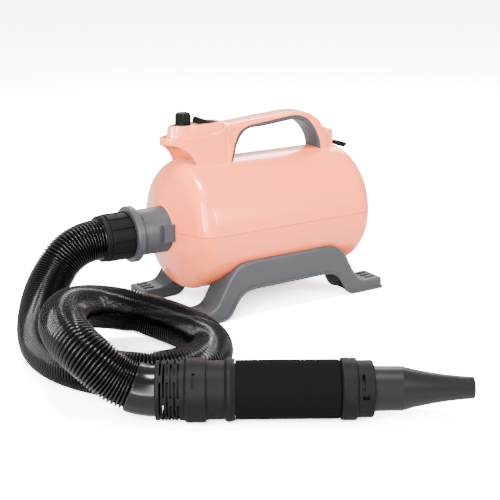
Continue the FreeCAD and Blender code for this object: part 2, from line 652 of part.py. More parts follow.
def pad_round(sketch, angle):
    """A raised sector: the sketch revolved a little each way about the body's X axis."""
    feature = sketch.getParentGeoFeatureGroup().newObject("PartDesign::Revolution", f"{sketch.Name}_sector")
    feature.Profile = sketch
    feature.ReferenceAxis = (sketch, ["H_Axis"])
    feature.Angle = angle
    feature.Midplane = True
    return feature


# ---------------------------------------------------------------- base
def bend_points(level_in, start, bend, level_out, bend_out, grow=0):
    """Where a sloping leg edge bends down from one level and out again at the lower one.

    grow is an expression that moves the edge away from its upper bend's centre."""
    sine, cosine = "sin(LegSlope * 1 deg)", "cos(LegSlope * 1 deg)"
    first = f"({bend} + {grow})"
    second = f"({bend_out} - ({grow}))"
    top_x = f"({start} + {first} * {sine})"
    top_z = f"({level_in} + {grow} - {first} * (1 - {cosine}))"
    low_z = f"({level_out} + {grow} + {second} * (1 - {cosine}))"
    low_x = f"({top_x} + ({top_z} - {low_z}) / tan(LegSlope * 1 deg))"
    return [
        (start, f"{level_in} + {grow}", first), (top_x, top_z), (low_x, low_z, second),
        (f"({low_x} + {second} * {sine})", f"{level_out} + {grow}"),
    ]


def across(points, end_x):
    """A leg edge from the front toe to the rear toe: the mirrored points, then the points."""
    rear = [(f"BaseX + {point[0]}", point[1]) for point in points]
    front = [(f"BaseX - ({point[0]})", point[1]) for point in points]
    upper, lower = points[0][2], points[2][2]
    edge = [(f"BaseX - {end_x}", front[3][1]), (*front[3], lower), front[2], (*front[1], f"-{upper}"), front[0]]
    return edge + [(*rear[0], f"-{upper}"), rear[1], (*rear[2], lower), rear[3], (f"BaseX + {end_x}", rear[3][1])]


def backwards_edge(edge):
    """The same edge from its other end, so its arcs turn the other way and leave the other point."""
    result = []
    for index in range(len(edge) - 1, -1, -1):
        arc = edge[index - 1][2] if index and len(edge[index - 1]) == 3 else None
        spot = edge[index][:2]
        result.append((*spot, f"-({arc})") if arc else spot)
    return result


def make_base():
    """The one-piece base: two arched side rails with channel legs, joined by a saddle."""
    body = new_body("base_frame", dryer_place())
    upper = bend_points("BaseTop", "ShoulderStart", "ShoulderBend", "FootTop", "AnkleBend")
    lower = bend_points("ArchHeight", "ArchStart", "ArchBend", "SoleGap", "HeelBend")
    raised = bend_points("ArchHeight", "ArchStart", "ArchBend", "SoleGap", "HeelBend", "LipHeight")
    inside = bend_points("BaseTop", "ShoulderStart", "ShoulderBend", "FootTop", "AnkleBend", "-BaseWall")
    rails = across(upper, "FootReach") + backwards_edge(across(lower, "FootReach"))
    pad(outline(new_sketch(body, "XZ"), rails), "BaseWidth", symmetric=True)
    lip_reach = "(FootReach + LipProud)"
    lip = across(raised, lip_reach) + backwards_edge(across(lower, lip_reach))
    pad(outline(new_sketch(body, "XZ"), lip), "BaseWidth + 2 * LipProud", symmetric=True)
    half_gap = "(BaseWidth / 2 - LegWidth)"
    block(body, "BaseX - 200", "BaseX + 200", f"-{half_gap}", half_gap, "-5", "ArchHeight + 3", cut=True)
    hollow = across(inside, "(FootReach - BaseWall)")
    hollow += [("BaseX + FootReach - BaseWall", "-5"), ("BaseX - FootReach + BaseWall", "-5")]
    for offset in ("BaseWidth / 2 - BaseWall", f"-({half_gap} + BaseWall)"):
        sketch = outline(new_sketch(body, "XZ", offset=offset), hollow)
        pocket(sketch, "LegWidth - 2 * BaseWall")
    pocket(circle(new_sketch(body, "YZ"), "0", "DrumHeight", "DrumRadius + SeatGap"), "400", symmetric=True)
    saddle = new_sketch(body, "YZ", offset="BaseX - SaddleLength / 2")
    inner, outer = "(DrumRadius + SeatGap)", "(DrumRadius + SeatGap + SaddleWall)"
    ends = [(f"{side}{radius} * sin(62 deg)", f"DrumHeight - {radius} * cos(62 deg)")
            for side, radius in (("-", inner), ("", inner), ("", outer), ("-", outer))]
    outline(saddle, [(*ends[0], inner), ends[1], (*ends[2], f"-{outer}"), ends[3]])
    pad(saddle, "SaddleLength")
    for x, y in BASE_SCREWS:
        pocket(circle(new_sketch(body, "XY", offset="DrumHeight"), x, y, "2.2"), "DrumHeight")


def corner_spots(reach, spread):
    """The four feet: (x sign, y sign, x, y) expressions about the base's middle."""
    return [(f"BaseX + {side} * ({reach})", f"{hand} * ({spread})") for side in (1, -1) for hand in (1, -1)]


def make_feet():
    """Rubber blocks inside the feet and the raised bars on top of them."""
    spread = "(BaseWidth - LegWidth) / 2"
    seed = doc.addObject("Part::Box", "foot_block")
    seed.setExpression("Length", bound("FootReach - BaseWall - 96 - 0.5"))
    seed.setExpression("Width", bound("LegWidth - 2 * BaseWall - 1"))
    seed.setExpression("Height", bound("FootTop - BaseWall"))
    doc.recompute()
    middle = f"(96 + {seed.Length.Value / 2})"
    places = []
    for x, y in corner_spots(middle, spread):
        places.append(dryer_place("0", f"{x} - {seed.Length.Value / 2}", f"{y} - {seed.Width.Value / 2}"))
    copies("foot_pads", seed, places)
    bar = doc.addObject("Part::Box", "tread_bar")
    bar.Length, bar.Width, bar.Height = 13, 3, 1.6
    places = []
    for x, y in corner_spots("FootReach - 11", spread):
        for row in (-8.5, 0, 8.5):
            places.append(dryer_place("FootTop", f"{x} - 6.5", f"{y} + {row} - 1.5"))
    copies("foot_treads", bar, places)


def make_base_screws():
    seed = screw("base_screw", "4", "2", "3", "14")
    under = "DrumHeight - DrumRadius - SeatGap - SaddleWall"
    copies("base_screws", seed, [dryer_place(f"{under} - 2.9", x, y) for x, y in BASE_SCREWS])


# ---------------------------------------------------------------- control head and handle
NOSE_RADIUS = ("((HeadBend ^ 2 - (HeadShoulder - HeadNose) ^ 2 - (HeadBend - HeadHalf) ^ 2)"
               " / (2 * (HeadBend - HeadShoulder + HeadNose)))")


def head_outline(inset, back):
    """Plan of the control head, moved inwards by inset: straight sides that close in a rounded nose."""
    reach = f"(HeadBend - {NOSE_RADIUS})"
    small = f"({NOSE_RADIUS} - {inset})"
    nose_x = f"(HeadNose + {NOSE_RADIUS})"
    touch_x = f"({nose_x} - {small} * (HeadShoulder - {nose_x}) / {reach})"
    touch_y = f"({small} * (HeadBend - HeadHalf) / {reach})"
    half = f"(HeadHalf - {inset})"
    bend = f"-(HeadBend - {inset})"
    return [
        (back, f"-{half}"), ("HeadShoulder", f"-{half}", bend), (touch_x, f"-{touch_y}", f"-{small}"),
        (touch_x, touch_y, bend), ("HeadShoulder", half), (back, half),
    ]


def handle_border():
    """The line between the handle's cover and its liner, from the rear leg's foot to the front leg's foot."""
    rear = "(HandleCrown + HandleBend - 12)"
    return [
        (rear, "DrumHeight"), (rear, "HandleTop - HandleBend + 2", "HandleBend - 4"),
        ("HandleCrown - 2", "HandleTop - 5"), ("HeadBack + 28", "HandleTop - 9.5", "30"),
        ("HeadBack + 2", "HandleTop - 37"), ("HeadBack - 1", "DrumHeight"),
    ]


def make_top_housing():
    """The control head and the handle's cover, moulded in one."""
    body = new_body("top_housing", dryer_place())
    low = "(DrumHeight + DrumRadius - 12)"
    rim_top = "(RimHeight + RimRise)"
    plan = head_outline("0", "HeadBack")
    pad(outline(new_sketch(body, "XY", offset=low), plan), f"{rim_top} + 2 - {low}")
    scoop = [
        ("HeadNose - 5", "DrumHeight"), ("HeadNose - 5", "ScoopHeight + ScoopRadius"),
        ("ScoopX", "ScoopHeight + ScoopRadius", "-ScoopRadius"), ("ScoopX + ScoopRadius", "ScoopHeight"),
        ("ScoopX + ScoopRadius", "DrumHeight"),
    ]
    pocket(outline(new_sketch(body, "XZ"), scoop), "3 * HeadHalf", symmetric=True)
    block(body, "HeadShoulder + 6", "RockerX + 15", "-13", "13", low, "PanelFloor + 1", cut=True)
    recess = head_outline("HeadWall", "HeadBack - HeadWall")
    pocket(outline(new_sketch(body, "XY", offset="PanelFloor"), recess), "40", backwards=True)
    rim = [
        ("HeadNose - 5", "RimHeight"), ("HeadShoulder - 5", "RimHeight", "RimBend"),
        ("HeadBack + 1", rim_top), ("HeadBack + 1", f"{rim_top} + 5"), ("HeadNose - 5", f"{rim_top} + 5"),
    ]
    pocket(outline(new_sketch(body, "XZ"), rim), "3 * HeadHalf", symmetric=True)
    back = "(HeadBack - HeadWall / 2)"
    handle = [
        (back, "DrumHeight"), (back, rim_top), ("HeadBack", f"{rim_top} + 0.6"), ("HandleCrown", "HandleTop", "-HandleBend"),
        ("HandleCrown + HandleBend", "HandleTop - HandleBend"), ("HandleCrown + HandleBend", "DrumHeight"),
    ]
    pad(outline(new_sketch(body, "XZ"), handle + handle_border()), "HandleWidth", symmetric=True)
    pocket(circle(new_sketch(body, "YZ"), "0", "DrumHeight", "DrumRadius + SeatGap"), "400", symmetric=True)


def make_handle_liner():
    """The grip liner inside the handle: thick under the grip, thin on the legs."""
    body = new_body("handle_liner", dryer_place())
    border = handle_border()
    rear = "(HandleCrown + HandleBend - 12 - LinerWall)"
    inner = [
        ("HeadBack - 1 + LinerWall", "DrumHeight"), ("HeadBack + 2 + LinerWall", "HandleTop - 37", "-(30 - LinerWall)"),
        ("HeadBack + 30", "HandleTop - 9.5 - LinerGrip"), ("HandleCrown - 5", "HandleTop - 5 - LinerGrip", "-(HandleBend - 8)"),
        (rear, "HandleTop - HandleBend + 2"), (rear, "DrumHeight"),
    ]
    pad(outline(new_sketch(body, "XZ"), border + inner), "HandleWidth", symmetric=True)
    pocket(circle(new_sketch(body, "YZ"), "0", "DrumHeight", "DrumRadius + SeatGap"), "400", symmetric=True)


def make_panel():
    """The raised panel that carries the speed knob and the power switch."""
    body = new_body("control_panel", dryer_place())
    fit = "HeadWall + FitGap"
    pad(outline(new_sketch(body, "XY", offset="PanelFloor"), head_outline(f"({fit})", f"HeadBack - ({fit})")), "3")
    raised = head_outline(f"({fit} + 1.4)", f"HeadBack - ({fit} + 1.4)")
    pad(outline(new_sketch(body, "XY", offset="PanelFloor"), raised), "PanelTop - PanelFloor")
    inside = f"({fit} + 1.4 + PanelWall)"
    hollow = head_outline(inside, f"HeadBack - {inside}")
    sketch = outline(new_sketch(body, "XY", offset="PanelFloor"), hollow)
    pocket(sketch, "PanelTop - PanelFloor - PanelWall", backwards=True)
    sketch = new_sketch(body, "XY", offset="PanelTop")
    pocket(circle(sketch, "KnobX", "0", "3.4"), "PanelWall + 1")
    half_x, half_y = "(RockerLength / 2 + FitGap)", "(RockerWidth / 2 + FitGap)"
    block(body, f"RockerX - {half_x}", f"RockerX + {half_x}", f"-{half_y}", half_y,
          "PanelTop - PanelWall - 1", "PanelTop + 1", cut=True)


def make_controls():
    """Speed knob with its shaft and potentiometer, power switch, and the control board."""
    knob = new_body("speed_knob", dryer_place("PanelTop + 0.4", "KnobX"))
    pad(circle(new_sketch(knob, "XY"), "0", "0", "KnobRadius"), "KnobHeight")
    doc.recompute()
    flute = pocket(circle(new_sketch(knob, "XY"), "KnobRadius + 1.1", "0", "2"), "KnobHeight", backwards=True)
    doc.recompute()
    pattern = knob.newObject("PartDesign::PolarPattern", "knob_flutes")
    pattern.Originals = [flute]
    pattern.Axis = ([item for item in knob.Origin.OriginFeatures if item.Role == "Z_Axis"][0], [""])
    pattern.Angle = 360
    pattern.Occurrences = 8
    knob.Tip = pattern
    pocket(circle(new_sketch(knob, "XY"), "0", "0", "3"), "KnobHeight - 2", backwards=True)
    shaft = new_body("pot_shaft", dryer_place("PanelTop - PanelWall", "KnobX"))
    pad(circle(new_sketch(shaft, "XY"), "0", "0", "3"), "PanelWall + 0.4 + KnobHeight - 2")
    pot = new_body("potentiometer", dryer_place("PanelTop - PanelWall - 9.2", "KnobX"))
    pad(circle(new_sketch(pot, "XY"), "0", "0", "8"), "9")
    make_switch()
    board = new_body("control_board", dryer_place())
    block(board, "HeadShoulder + 7", "RockerX + 12", "-11", "11", "PanelFloor - 16", "PanelFloor - 14.4")


def make_switch():
    rocker = new_body("power_rocker", dryer_place("PanelTop - 1", "RockerX"))
    swing = "(RockerLength / 2)"
    front_top, front_low, rear_low, rear_top = [
        (f"{swing} * cos({angle} deg)", f"{swing} * sin({angle} deg)") for angle in (146, 200, 336, 364)]
    points = [(*front_top, swing), front_low, ("0", "-7"), (*rear_low, swing), rear_top, ("1", "2.4")]
    pad(outline(new_sketch(rocker, "XZ"), points), "RockerWidth", symmetric=True)
    housing = new_body("switch_body", dryer_place("PanelTop - PanelWall - FitGap", "RockerX"))
    depth = 22
    half_x, half_y = "(RockerLength / 2 + 1.4)", "(RockerWidth / 2 + 1.4)"
    block(housing, f"-{half_x}", half_x, f"-{half_y}", half_y, f"-{depth}", "0")
    inner_x, inner_y = f"({half_x} - 1)", f"({half_y} - 1)"
    block(housing, f"-{inner_x}", inner_x, f"-{inner_y}", inner_y, "-14", "1", cut=True)


# ---------------------------------------------------------------- rear cover and latch
COVER_FACE = dome_x(COVER_HOLE, "0")


def make_rear_cover():
    """The slotted intake cover, whose skirt slides in the shells' rear hole, and its filter."""
    arc = "((CoverRadius ^ 2 + CoverBulge ^ 2) / (2 * CoverBulge))"
    centre = f"({COVER_FACE} + CoverBulge - {arc})"
    inner_r = "(CoverRadius - CoverWall)"
    inner_x = f"({centre} + sqrt(({arc} - CoverWall) ^ 2 - {inner_r} ^ 2))"
    body = turned("rear_cover", drum_place(), [
        (f"{COVER_FACE} - SkirtDepth", inner_r), (f"{COVER_FACE} - SkirtDepth", "CoverRadius"),
        (COVER_FACE, "CoverRadius", f"-{arc}"), (f"{COVER_FACE} + CoverBulge", "0"),
        (f"{COVER_FACE} + CoverBulge - CoverWall", "0", f"{arc} - CoverWall"), (inner_x, inner_r),
    ])
    sketch = new_sketch(body, "YZ", offset=COVER_FACE)
    slot = outline(sketch, rectangle("-1.6", "14", "1.6", "CoverRadius - 9"))
    cut = pocket(slot, "CoverBulge + 5", backwards=True)
    cut.SideType = "Two sides"
    cut.Length2 = 5
    repeat_round(body, [cut], 18)
    start = f"{COVER_FACE} - SkirtDepth + 2"
    ring("air_filter", drum_place(), start, f"{start} + FilterThickness", "0", f"{inner_r} - FitGap")


def make_latch():
    """The sprung tab behind the handle that holds the cover, with its pin and leaf spring."""
    latch = new_body("cover_latch", dryer_place("LatchPinZ", "LatchPinX"))
    points = [
        ("-3", "-1.8"), ("-3", "1.4"), ("5", "1.2"), ("24", "-3"), ("26.5", "-5.2"), ("21.5", "-9"),
        ("17.5", "-7.4"), ("7", "-2.4"),
    ]
    pad(outline(new_sketch(latch, "XZ"), points), "LatchWidth", symmetric=True)
    pocket(circle(new_sketch(latch, "XZ"), "0", "0", "LatchPinRadius + RunGap"), "2 * LatchWidth", symmetric=True)
    pin = new_body("latch_pin", dryer_place("LatchPinZ", "LatchPinX"))
    pad(circle(new_sketch(pin, "XZ"), "0", "0", "LatchPinRadius"), "LatchWidth + 3", symmetric=True)
    spring = new_body("latch_spring", dryer_place("LatchPinZ - 2.8", "LatchPinX"))
    block(spring, "-4.8", "-1", "-4", "4", "0", "0.3")


def make_gland():
    """The rubber gland for the mains cord, low on the drum's rear."""
    place = dryer_place("DrumHeight - GlandDrop", "TailStart")
    turned("cord_gland", place, [
        ("9", "CordHole"), ("9", "GlandRadius + 2"), ("12", "GlandRadius + 2"), ("12", "GlandRadius"),
        ("25", "GlandRadius"), ("25", "GlandRadius + 1.5"), ("28", "GlandRadius + 1.5"),
        ("33", "CordHole + 1.4"), ("33", "CordHole"),
    ])


# ---------------------------------------------------------------- motor and fan
DRUM_BORE = "(DrumRadius - DrumWall - FitGap)"


def make_motor():
    """The motor: vented barrel with its stator, windings, bearings and brushes, on rubber mounts."""
    frame = turned("motor_frame", drum_place(), [
        ("-24", "9"), ("-24", "13"), ("-16.5", "13"), ("-16.5", "BarrelRadius"), ("57", "BarrelRadius"),
        ("57", "FanCaseRadius - 0.2"), (FAN_FRONT, "FanCaseRadius - 0.2"), (FAN_FRONT, "11"), ("50", "11"),
        ("50", "15"), ("57", "15"), ("57", "BarrelRadius - BarrelWall"), ("-14", "BarrelRadius - BarrelWall"),
        ("-14", "9"),
    ])
    vent = pocket(circle(new_sketch(frame, "YZ"), "0", "28", "7"), "300", symmetric=True)
    repeat_round(frame, [vent], 6)
    bore = "ShaftRadius + RunGap"
    ring("front_bearing", drum_place(), "-23.5", "-17", bore, "9")
    ring("rear_bearing", drum_place(), "50.3", "57", bore, "11")
    core_end = f"{STATOR_X} + StatorLength"
    stator_bore = "ArmatureRadius + AirGap"
    ring("stator_core", drum_place(), STATOR_X, core_end, stator_bore, "BarrelRadius - BarrelWall - SeatGap")
    coil = doc.addObject("Part::Feature", "coil_end")
    outer = Part.makeCylinder(36, 7, Vector(), Vector(1, 0, 0))
    coil.Shape = outer.cut(Part.makeCylinder(26, 7, Vector(), Vector(1, 0, 0)))
    places = [dryer_place("DrumHeight", x) for x in (f"{STATOR_X} - 7.2", f"{core_end} + 0.2")]
    copies("field_windings", coil, places)
    make_brushes()
    ring("motor_mount_rear", drum_place(), "70", "82", "FanCaseRadius", DRUM_BORE)
    spider = ring("motor_mount_front", drum_place(), "-8", "0", "BarrelRadius", DRUM_BORE)
    hole = pocket(circle(new_sketch(spider, "YZ", offset="-9"), "0", "57", "8"), "12", backwards=True)
    repeat_round(spider, [hole], 8)
    ring("motor_bulkhead", drum_place(), BULKHEAD_X, f"{BULKHEAD_X} + 3", "23", DRUM_BORE)
    ring("silencer_foam", drum_place(), "NoseStart + 12.5", "-24", f"{DRUM_BORE} - FoamWall", DRUM_BORE)


def make_brushes():
    """Two carbon brushes in their holders, on either side of the commutator."""
    outer = Part.makeBox(10, 25, 10, Vector(-7, 14, -5))
    holder = doc.addObject("Part::Feature", "brush_holder")
    holder.Shape = outer.cut(Part.makeBox(6.2, 25, 6.2, Vector(-5.1, 14, -3.1)))
    carbon = doc.addObject("Part::Box", "brush_block")
    carbon.Length, carbon.Width, carbon.Height = 6, 14, 6
    carbon.Placement.Base = Vector(-5, 12.3, -3)
    places = []
    for angle in (0, 180):
        place = dryer_place("DrumHeight")
        place.Rotation = FreeCAD.Rotation(Vector(1, 0, 0), angle)
        places.append(place)
    copies("brush_holders", holder, places)
    copies("carbon_brushes", carbon, places)


def make_rotor():
    """Everything that spins: shaft, armature, commutator, impeller and its nut."""
    ring("rotor_shaft", drum_place(), "-27", "94", "0", "ShaftRadius")
    turned("armature_core", drum_place(), [
        ("8", "ShaftRadius"), ("8", "17"), (f"{STATOR_X} + 0.5", "17"), (f"{STATOR_X} + 0.5", "ArmatureRadius"),
        (f"{STATOR_X} + StatorLength - 0.5", "ArmatureRadius"), (f"{STATOR_X} + StatorLength - 0.5", "17"),
        ("48", "17"), ("48", "ShaftRadius"),
    ])
    ring("commutator", drum_place(), "-7", "3", "ShaftRadius", "12")
    ring("fan_nut", drum_place(), "88", "93", "ShaftRadius", "7")
    wheel = turned("fan_impeller", drum_place(), [
        ("63", "ShaftRadius"), ("63", "9"), ("64", "FanRadius"), ("66", "FanRadius"), ("69", "13"), ("88", "9"),
        ("88", "ShaftRadius"),
    ])
    sketch = new_sketch(wheel, "YZ", offset="65")
    outline(sketch, [("0", "16", "40"), ("-13", "FanRadius - 2"), ("-11.6", "FanRadius - 1.4", "-38"), ("1.6", "16")])
    blade = pad(sketch, "19.5")
    repeat_round(wheel, [blade], 9)
    shroud = rectangle("84", "22", "85.5", "FanRadius")
    revolve(outline(new_sketch(wheel, "XZ"), shroud))
    turned("fan_case", drum_place(), [
        (FAN_FRONT, "FanCaseRadius - FanCaseWall"), (FAN_FRONT, "FanCaseRadius"), (FAN_BACK, "FanCaseRadius"),
        (FAN_BACK, "23"), (f"{FAN_BACK} - FanCaseWall", "23"),
        (f"{FAN_BACK} - FanCaseWall", "FanCaseRadius - FanCaseWall"),
    ])


# ---------------------------------------------------------------- build, check and write
make_lower_shell()
make_upper_shell()
make_shell_screws()
make_outlet()
make_lug_screws()
ring("outlet_seal", drum_place(), f"{NECK_SHOULDER} - 3", NECK_SHOULDER, "NeckRadius + SeatGap", "NeckRadius + 5")
make_cuff()
make_hose()
make_sleeve()
make_wand()
make_base()
make_feet()
make_base_screws()
make_top_housing()
make_handle_liner()
make_panel()
make_controls()
make_rear_cover()
make_latch()
make_gland()
make_motor()
make_rotor()
doc.recompute()

failed = [item.Label for item in doc.Objects if "Invalid" in item.State or "Error" in item.State]
for node in nodes:
    if node.Shape.isNull() or not node.Shape.isValid() or not node.Shape.Solids:
        failed.append(f"{node.Label} shape")
if failed:
    raise SystemExit(f"these did not build: {failed}")
for node in nodes:
    node.Shape.exportStep(f"parts/{node.Label}.step")
    print(f"{node.Label}: {len(node.Shape.Solids)} solids, {node.Shape.Volume:.0f} mm3")
print(f"{len(nodes)} nodes")
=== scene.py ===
"""Pet dryer: the surfaces, materials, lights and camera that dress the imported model.

Shapes are worked out in millimetres about the dryer's reference, which is on the drum's axis in plan and
on the floor. DRYER moves them to the model's own frame, in metres.
"""
import json
import math

import bpy
import numpy as np
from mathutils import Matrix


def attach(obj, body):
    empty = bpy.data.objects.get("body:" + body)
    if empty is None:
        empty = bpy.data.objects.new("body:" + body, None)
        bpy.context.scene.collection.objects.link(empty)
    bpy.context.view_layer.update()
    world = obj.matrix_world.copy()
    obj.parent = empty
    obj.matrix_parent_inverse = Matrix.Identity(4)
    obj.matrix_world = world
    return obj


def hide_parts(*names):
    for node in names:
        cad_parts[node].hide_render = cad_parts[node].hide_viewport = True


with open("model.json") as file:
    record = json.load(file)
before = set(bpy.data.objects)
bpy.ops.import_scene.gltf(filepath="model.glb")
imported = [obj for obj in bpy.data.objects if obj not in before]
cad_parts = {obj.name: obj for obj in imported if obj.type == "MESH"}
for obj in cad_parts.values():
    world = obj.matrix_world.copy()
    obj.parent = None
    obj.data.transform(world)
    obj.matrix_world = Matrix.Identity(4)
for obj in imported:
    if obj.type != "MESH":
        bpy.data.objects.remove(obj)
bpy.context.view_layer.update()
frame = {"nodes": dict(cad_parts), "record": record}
joints = {joint["name"]: joint for joint in frame["record"]["behaviour"]["joints"]}
spin = joints["rotor_spin"]["pos_m"]
DRYER = np.array([spin[0], spin[1], 0.0]) * 1000
DRUM_HEIGHT = 100.0  # of the axis
DRUM_RADIUS = 75.0
WORLD_LIGHT = 1.15  # strength of the surround for bounced light
SEEN_WHITE = 14.0  # what the camera sees on top of it
FLOOR_GAIN = 9.0  # how much paler the floor is to the camera
FLOOR_REACH = 40.0  # metres, past the horizon of every view


# ---------------------------------------------------------------- camera and lights
def add_camera():
    camera = bpy.data.objects.new("camera", bpy.data.cameras.new("camera"))
    camera.data.lens = 83.0
    camera.data.sensor_width = 36.0
    camera.data.clip_end = 20.0
    camera.location = (-0.6671, -0.9614, 0.4623)
    camera.rotation_euler = (math.radians(73.2), 0.0, math.radians(-32.7))
    bpy.context.collection.objects.link(camera)
    bpy.context.scene.camera = camera


def add_light(name, place, aim, size, power):
    """A rectangular soft box at place that faces aim."""
    data = bpy.data.lights.new(name, "AREA")
    data.shape = "RECTANGLE"
    data.size, data.size_y = size
    data.energy = power
    lamp = bpy.data.objects.new(name, data)
    lamp.location = place
    away = np.array(place) - np.array(aim)
    turn = math.atan2(away[0], -away[1])
    lean = math.atan2(math.hypot(away[0], away[1]), away[2])
    lamp.rotation_euler = (lean, 0.0, turn)
    bpy.context.collection.objects.link(lamp)


def camera_share(tree):
    """1 where the camera looks straight at a surface, 0 for light that has bounced."""
    return add_node(tree, "ShaderNodeLightPath").outputs["Is Camera Ray"]


def add_studio():
    """A bright white surround for the camera, a dimmer one for the light, soft boxes and narrow strips.

    The two keys are tall upright strips level with their aim, so that their reflections are upright lines."""
    world = bpy.data.worlds.new("studio")
    world.use_nodes = True
    tree = world.node_tree
    background = tree.nodes["Background"]
    background.inputs["Color"].default_value = (1.0, 1.0, 1.0, 1.0)
    seen = arithmetic(tree, "MULTIPLY", camera_share(tree), SEEN_WHITE)
    tree.links.new(arithmetic(tree, "ADD", seen, WORLD_LIGHT), background.inputs["Strength"])
    bpy.context.scene.world = world
    middle = (0.0, 0.0, 0.08)
    level = (0.0, 0.0, 0.9)
    add_light("overhead", (-0.3, -0.2, 2.0), middle, (0.4, 0.4), 75.0)
    add_light("key", (-1.6, -1.0, 0.9), level, (0.08, 1.8), 95.0)
    add_light("second_key", (-1.25, -1.45, 0.9), level, (0.05, 1.8), 50.0)
    add_light("fill", (0.9, -1.8, 0.9), middle, (0.12, 0.9), 34.0)
    add_light("rim", (1.1, 1.3, 1.1), middle, (1.1, 0.4), 24.0)


# ---------------------------------------------------------------- material building blocks
def new_group(name, inputs, outputs):
    """An empty shader group with named sockets, and its two ends."""
    group = bpy.data.node_groups.new(name, "ShaderNodeTree")
    for label, kind, value in inputs:
        socket = group.interface.new_socket(label, in_out="INPUT", socket_type=kind)
        if value is not None:
            socket.default_value = value
    for label, kind in outputs:
        group.interface.new_socket(label, in_out="OUTPUT", socket_type=kind)
    return group, group.nodes.new("NodeGroupInput"), group.nodes.new("NodeGroupOutput")


def add_node(tree, kind, **settings):
    """A new node with the given settings."""
    node = tree.nodes.new(kind)
    for name, value in settings.items():
        setattr(node, name, value)
    return node


def noise(tree, vector, scale, detail, rough=0.5):
    """The value of a noise texture. Its scale is a number or a socket."""
    node = add_node(tree, "ShaderNodeTexNoise")
    node.inputs["Detail"].default_value = detail
    node.inputs["Roughness"].default_value = rough
    tree.links.new(vector, node.inputs["Vector"])
    if isinstance(scale, (int, float)):
        node.inputs["Scale"].default_value = scale
    else:
        tree.links.new(scale, node.inputs["Scale"])
    return node.outputs["Fac"]


def arithmetic(tree, operation, first, second):
    """The result of an operation on two numbers or sockets."""
    node = add_node(tree, "ShaderNodeMath", operation=operation)
    for socket, value in zip(node.inputs, (first, second)):
        if isinstance(value, (int, float)):
            socket.default_value = value
        else:
            tree.links.new(value, socket)
    return node.outputs[0]


def make_grain():
    """Moulded grain: fine pits as a normal, slow unevenness in the gloss, and a slow drift of the colour."""
    group, start, end = new_group(
        "moulded_grain",
        [("Color", "NodeSocketColor", None), ("Roughness", "NodeSocketFloat", 0.4),
         ("Gloss Drift", "NodeSocketFloat", 0.06), ("Color Drift", "NodeSocketFloat", 0.04),
         ("Grain Scale", "NodeSocketFloat", 1500.0), ("Grain Depth", "NodeSocketFloat", 0.1)],
        [("Color", "NodeSocketColor"), ("Roughness", "NodeSocketFloat"), ("Normal", "NodeSocketVector")])
    where = add_node(group, "ShaderNodeTexCoord").outputs["Object"]
    slow = noise(group, where, 14.0, 4.0, 0.6)
    centred = arithmetic(group, "SUBTRACT", slow, 0.5)
    change = arithmetic(group, "MULTIPLY", centred, start.outputs["Gloss Drift"])
    rough = arithmetic(group, "ADD", start.outputs["Roughness"], change)
    group.links.new(rough, end.inputs["Roughness"])
    drift = arithmetic(group, "MULTIPLY", centred, start.outputs["Color Drift"])
    shade = arithmetic(group, "ADD", 1.0, drift)
    tint = add_node(group, "ShaderNodeVectorMath", operation="SCALE")
    group.links.new(start.outputs["Color"], tint.inputs[0])
    group.links.new(shade, tint.inputs["Scale"])
    group.links.new(tint.outputs[0], end.inputs["Color"])
    bump = add_node(group, "ShaderNodeBump")
    bump.inputs["Distance"].default_value = 0.0002
    group.links.new(start.outputs["Grain Depth"], bump.inputs["Strength"])
    group.links.new(noise(group, where, start.outputs["Grain Scale"], 2.0), bump.inputs["Height"])
    group.links.new(bump.outputs["Normal"], end.inputs["Normal"])
    return group


GRAIN = make_grain()


def finish(name, colour, roughness, grain=(1500.0, 0.1), gloss_drift=0.06, colour_drift=0.05, **shader):
    """A material on the moulded grain, whose scale and depth are the pair grain.

    Further shader sockets are given by name, with _ for a space."""
    material = bpy.data.materials.new(name)
    material.use_nodes = True
    tree = material.node_tree
    shading = tree.nodes["Principled BSDF"]
    group = add_node(tree, "ShaderNodeGroup", node_tree=GRAIN)
    group.inputs["Color"].default_value = (*colour, 1.0)
    group.inputs["Roughness"].default_value = roughness
    group.inputs["Gloss Drift"].default_value = gloss_drift
    group.inputs["Color Drift"].default_value = colour_drift
    group.inputs["Grain Scale"].default_value = grain[0]
    group.inputs["Grain Depth"].default_value = grain[1]
    tree.links.new(group.outputs["Color"], shading.inputs["Base Color"])
    tree.links.new(group.outputs["Roughness"], shading.inputs["Roughness"])
    tree.links.new(group.outputs["Normal"], shading.inputs["Normal"])
    for socket, value in shader.items():
        shading.inputs[socket.replace("_", " ")].default_value = value
    return material


def grain_node(tree):
    return next(node for node in tree.nodes if node.type == "GROUP")


def calm_bounces(material, colour):
    """Light that has bounced meets a duller colour than the camera sees, so that the gaps don't glow."""
    tree = material.node_tree
    group = grain_node(tree)
    blend = add_node(tree, "ShaderNodeMix", data_type="RGBA")
    tree.links.new(camera_share(tree), blend.inputs["Factor"])
    blend.inputs[6].default_value = (*colour, 1.0)
    tree.links.new(group.outputs["Color"], blend.inputs[7])
    tree.links.new(blend.outputs[2], tree.nodes["Principled BSDF"].inputs["Base Color"])


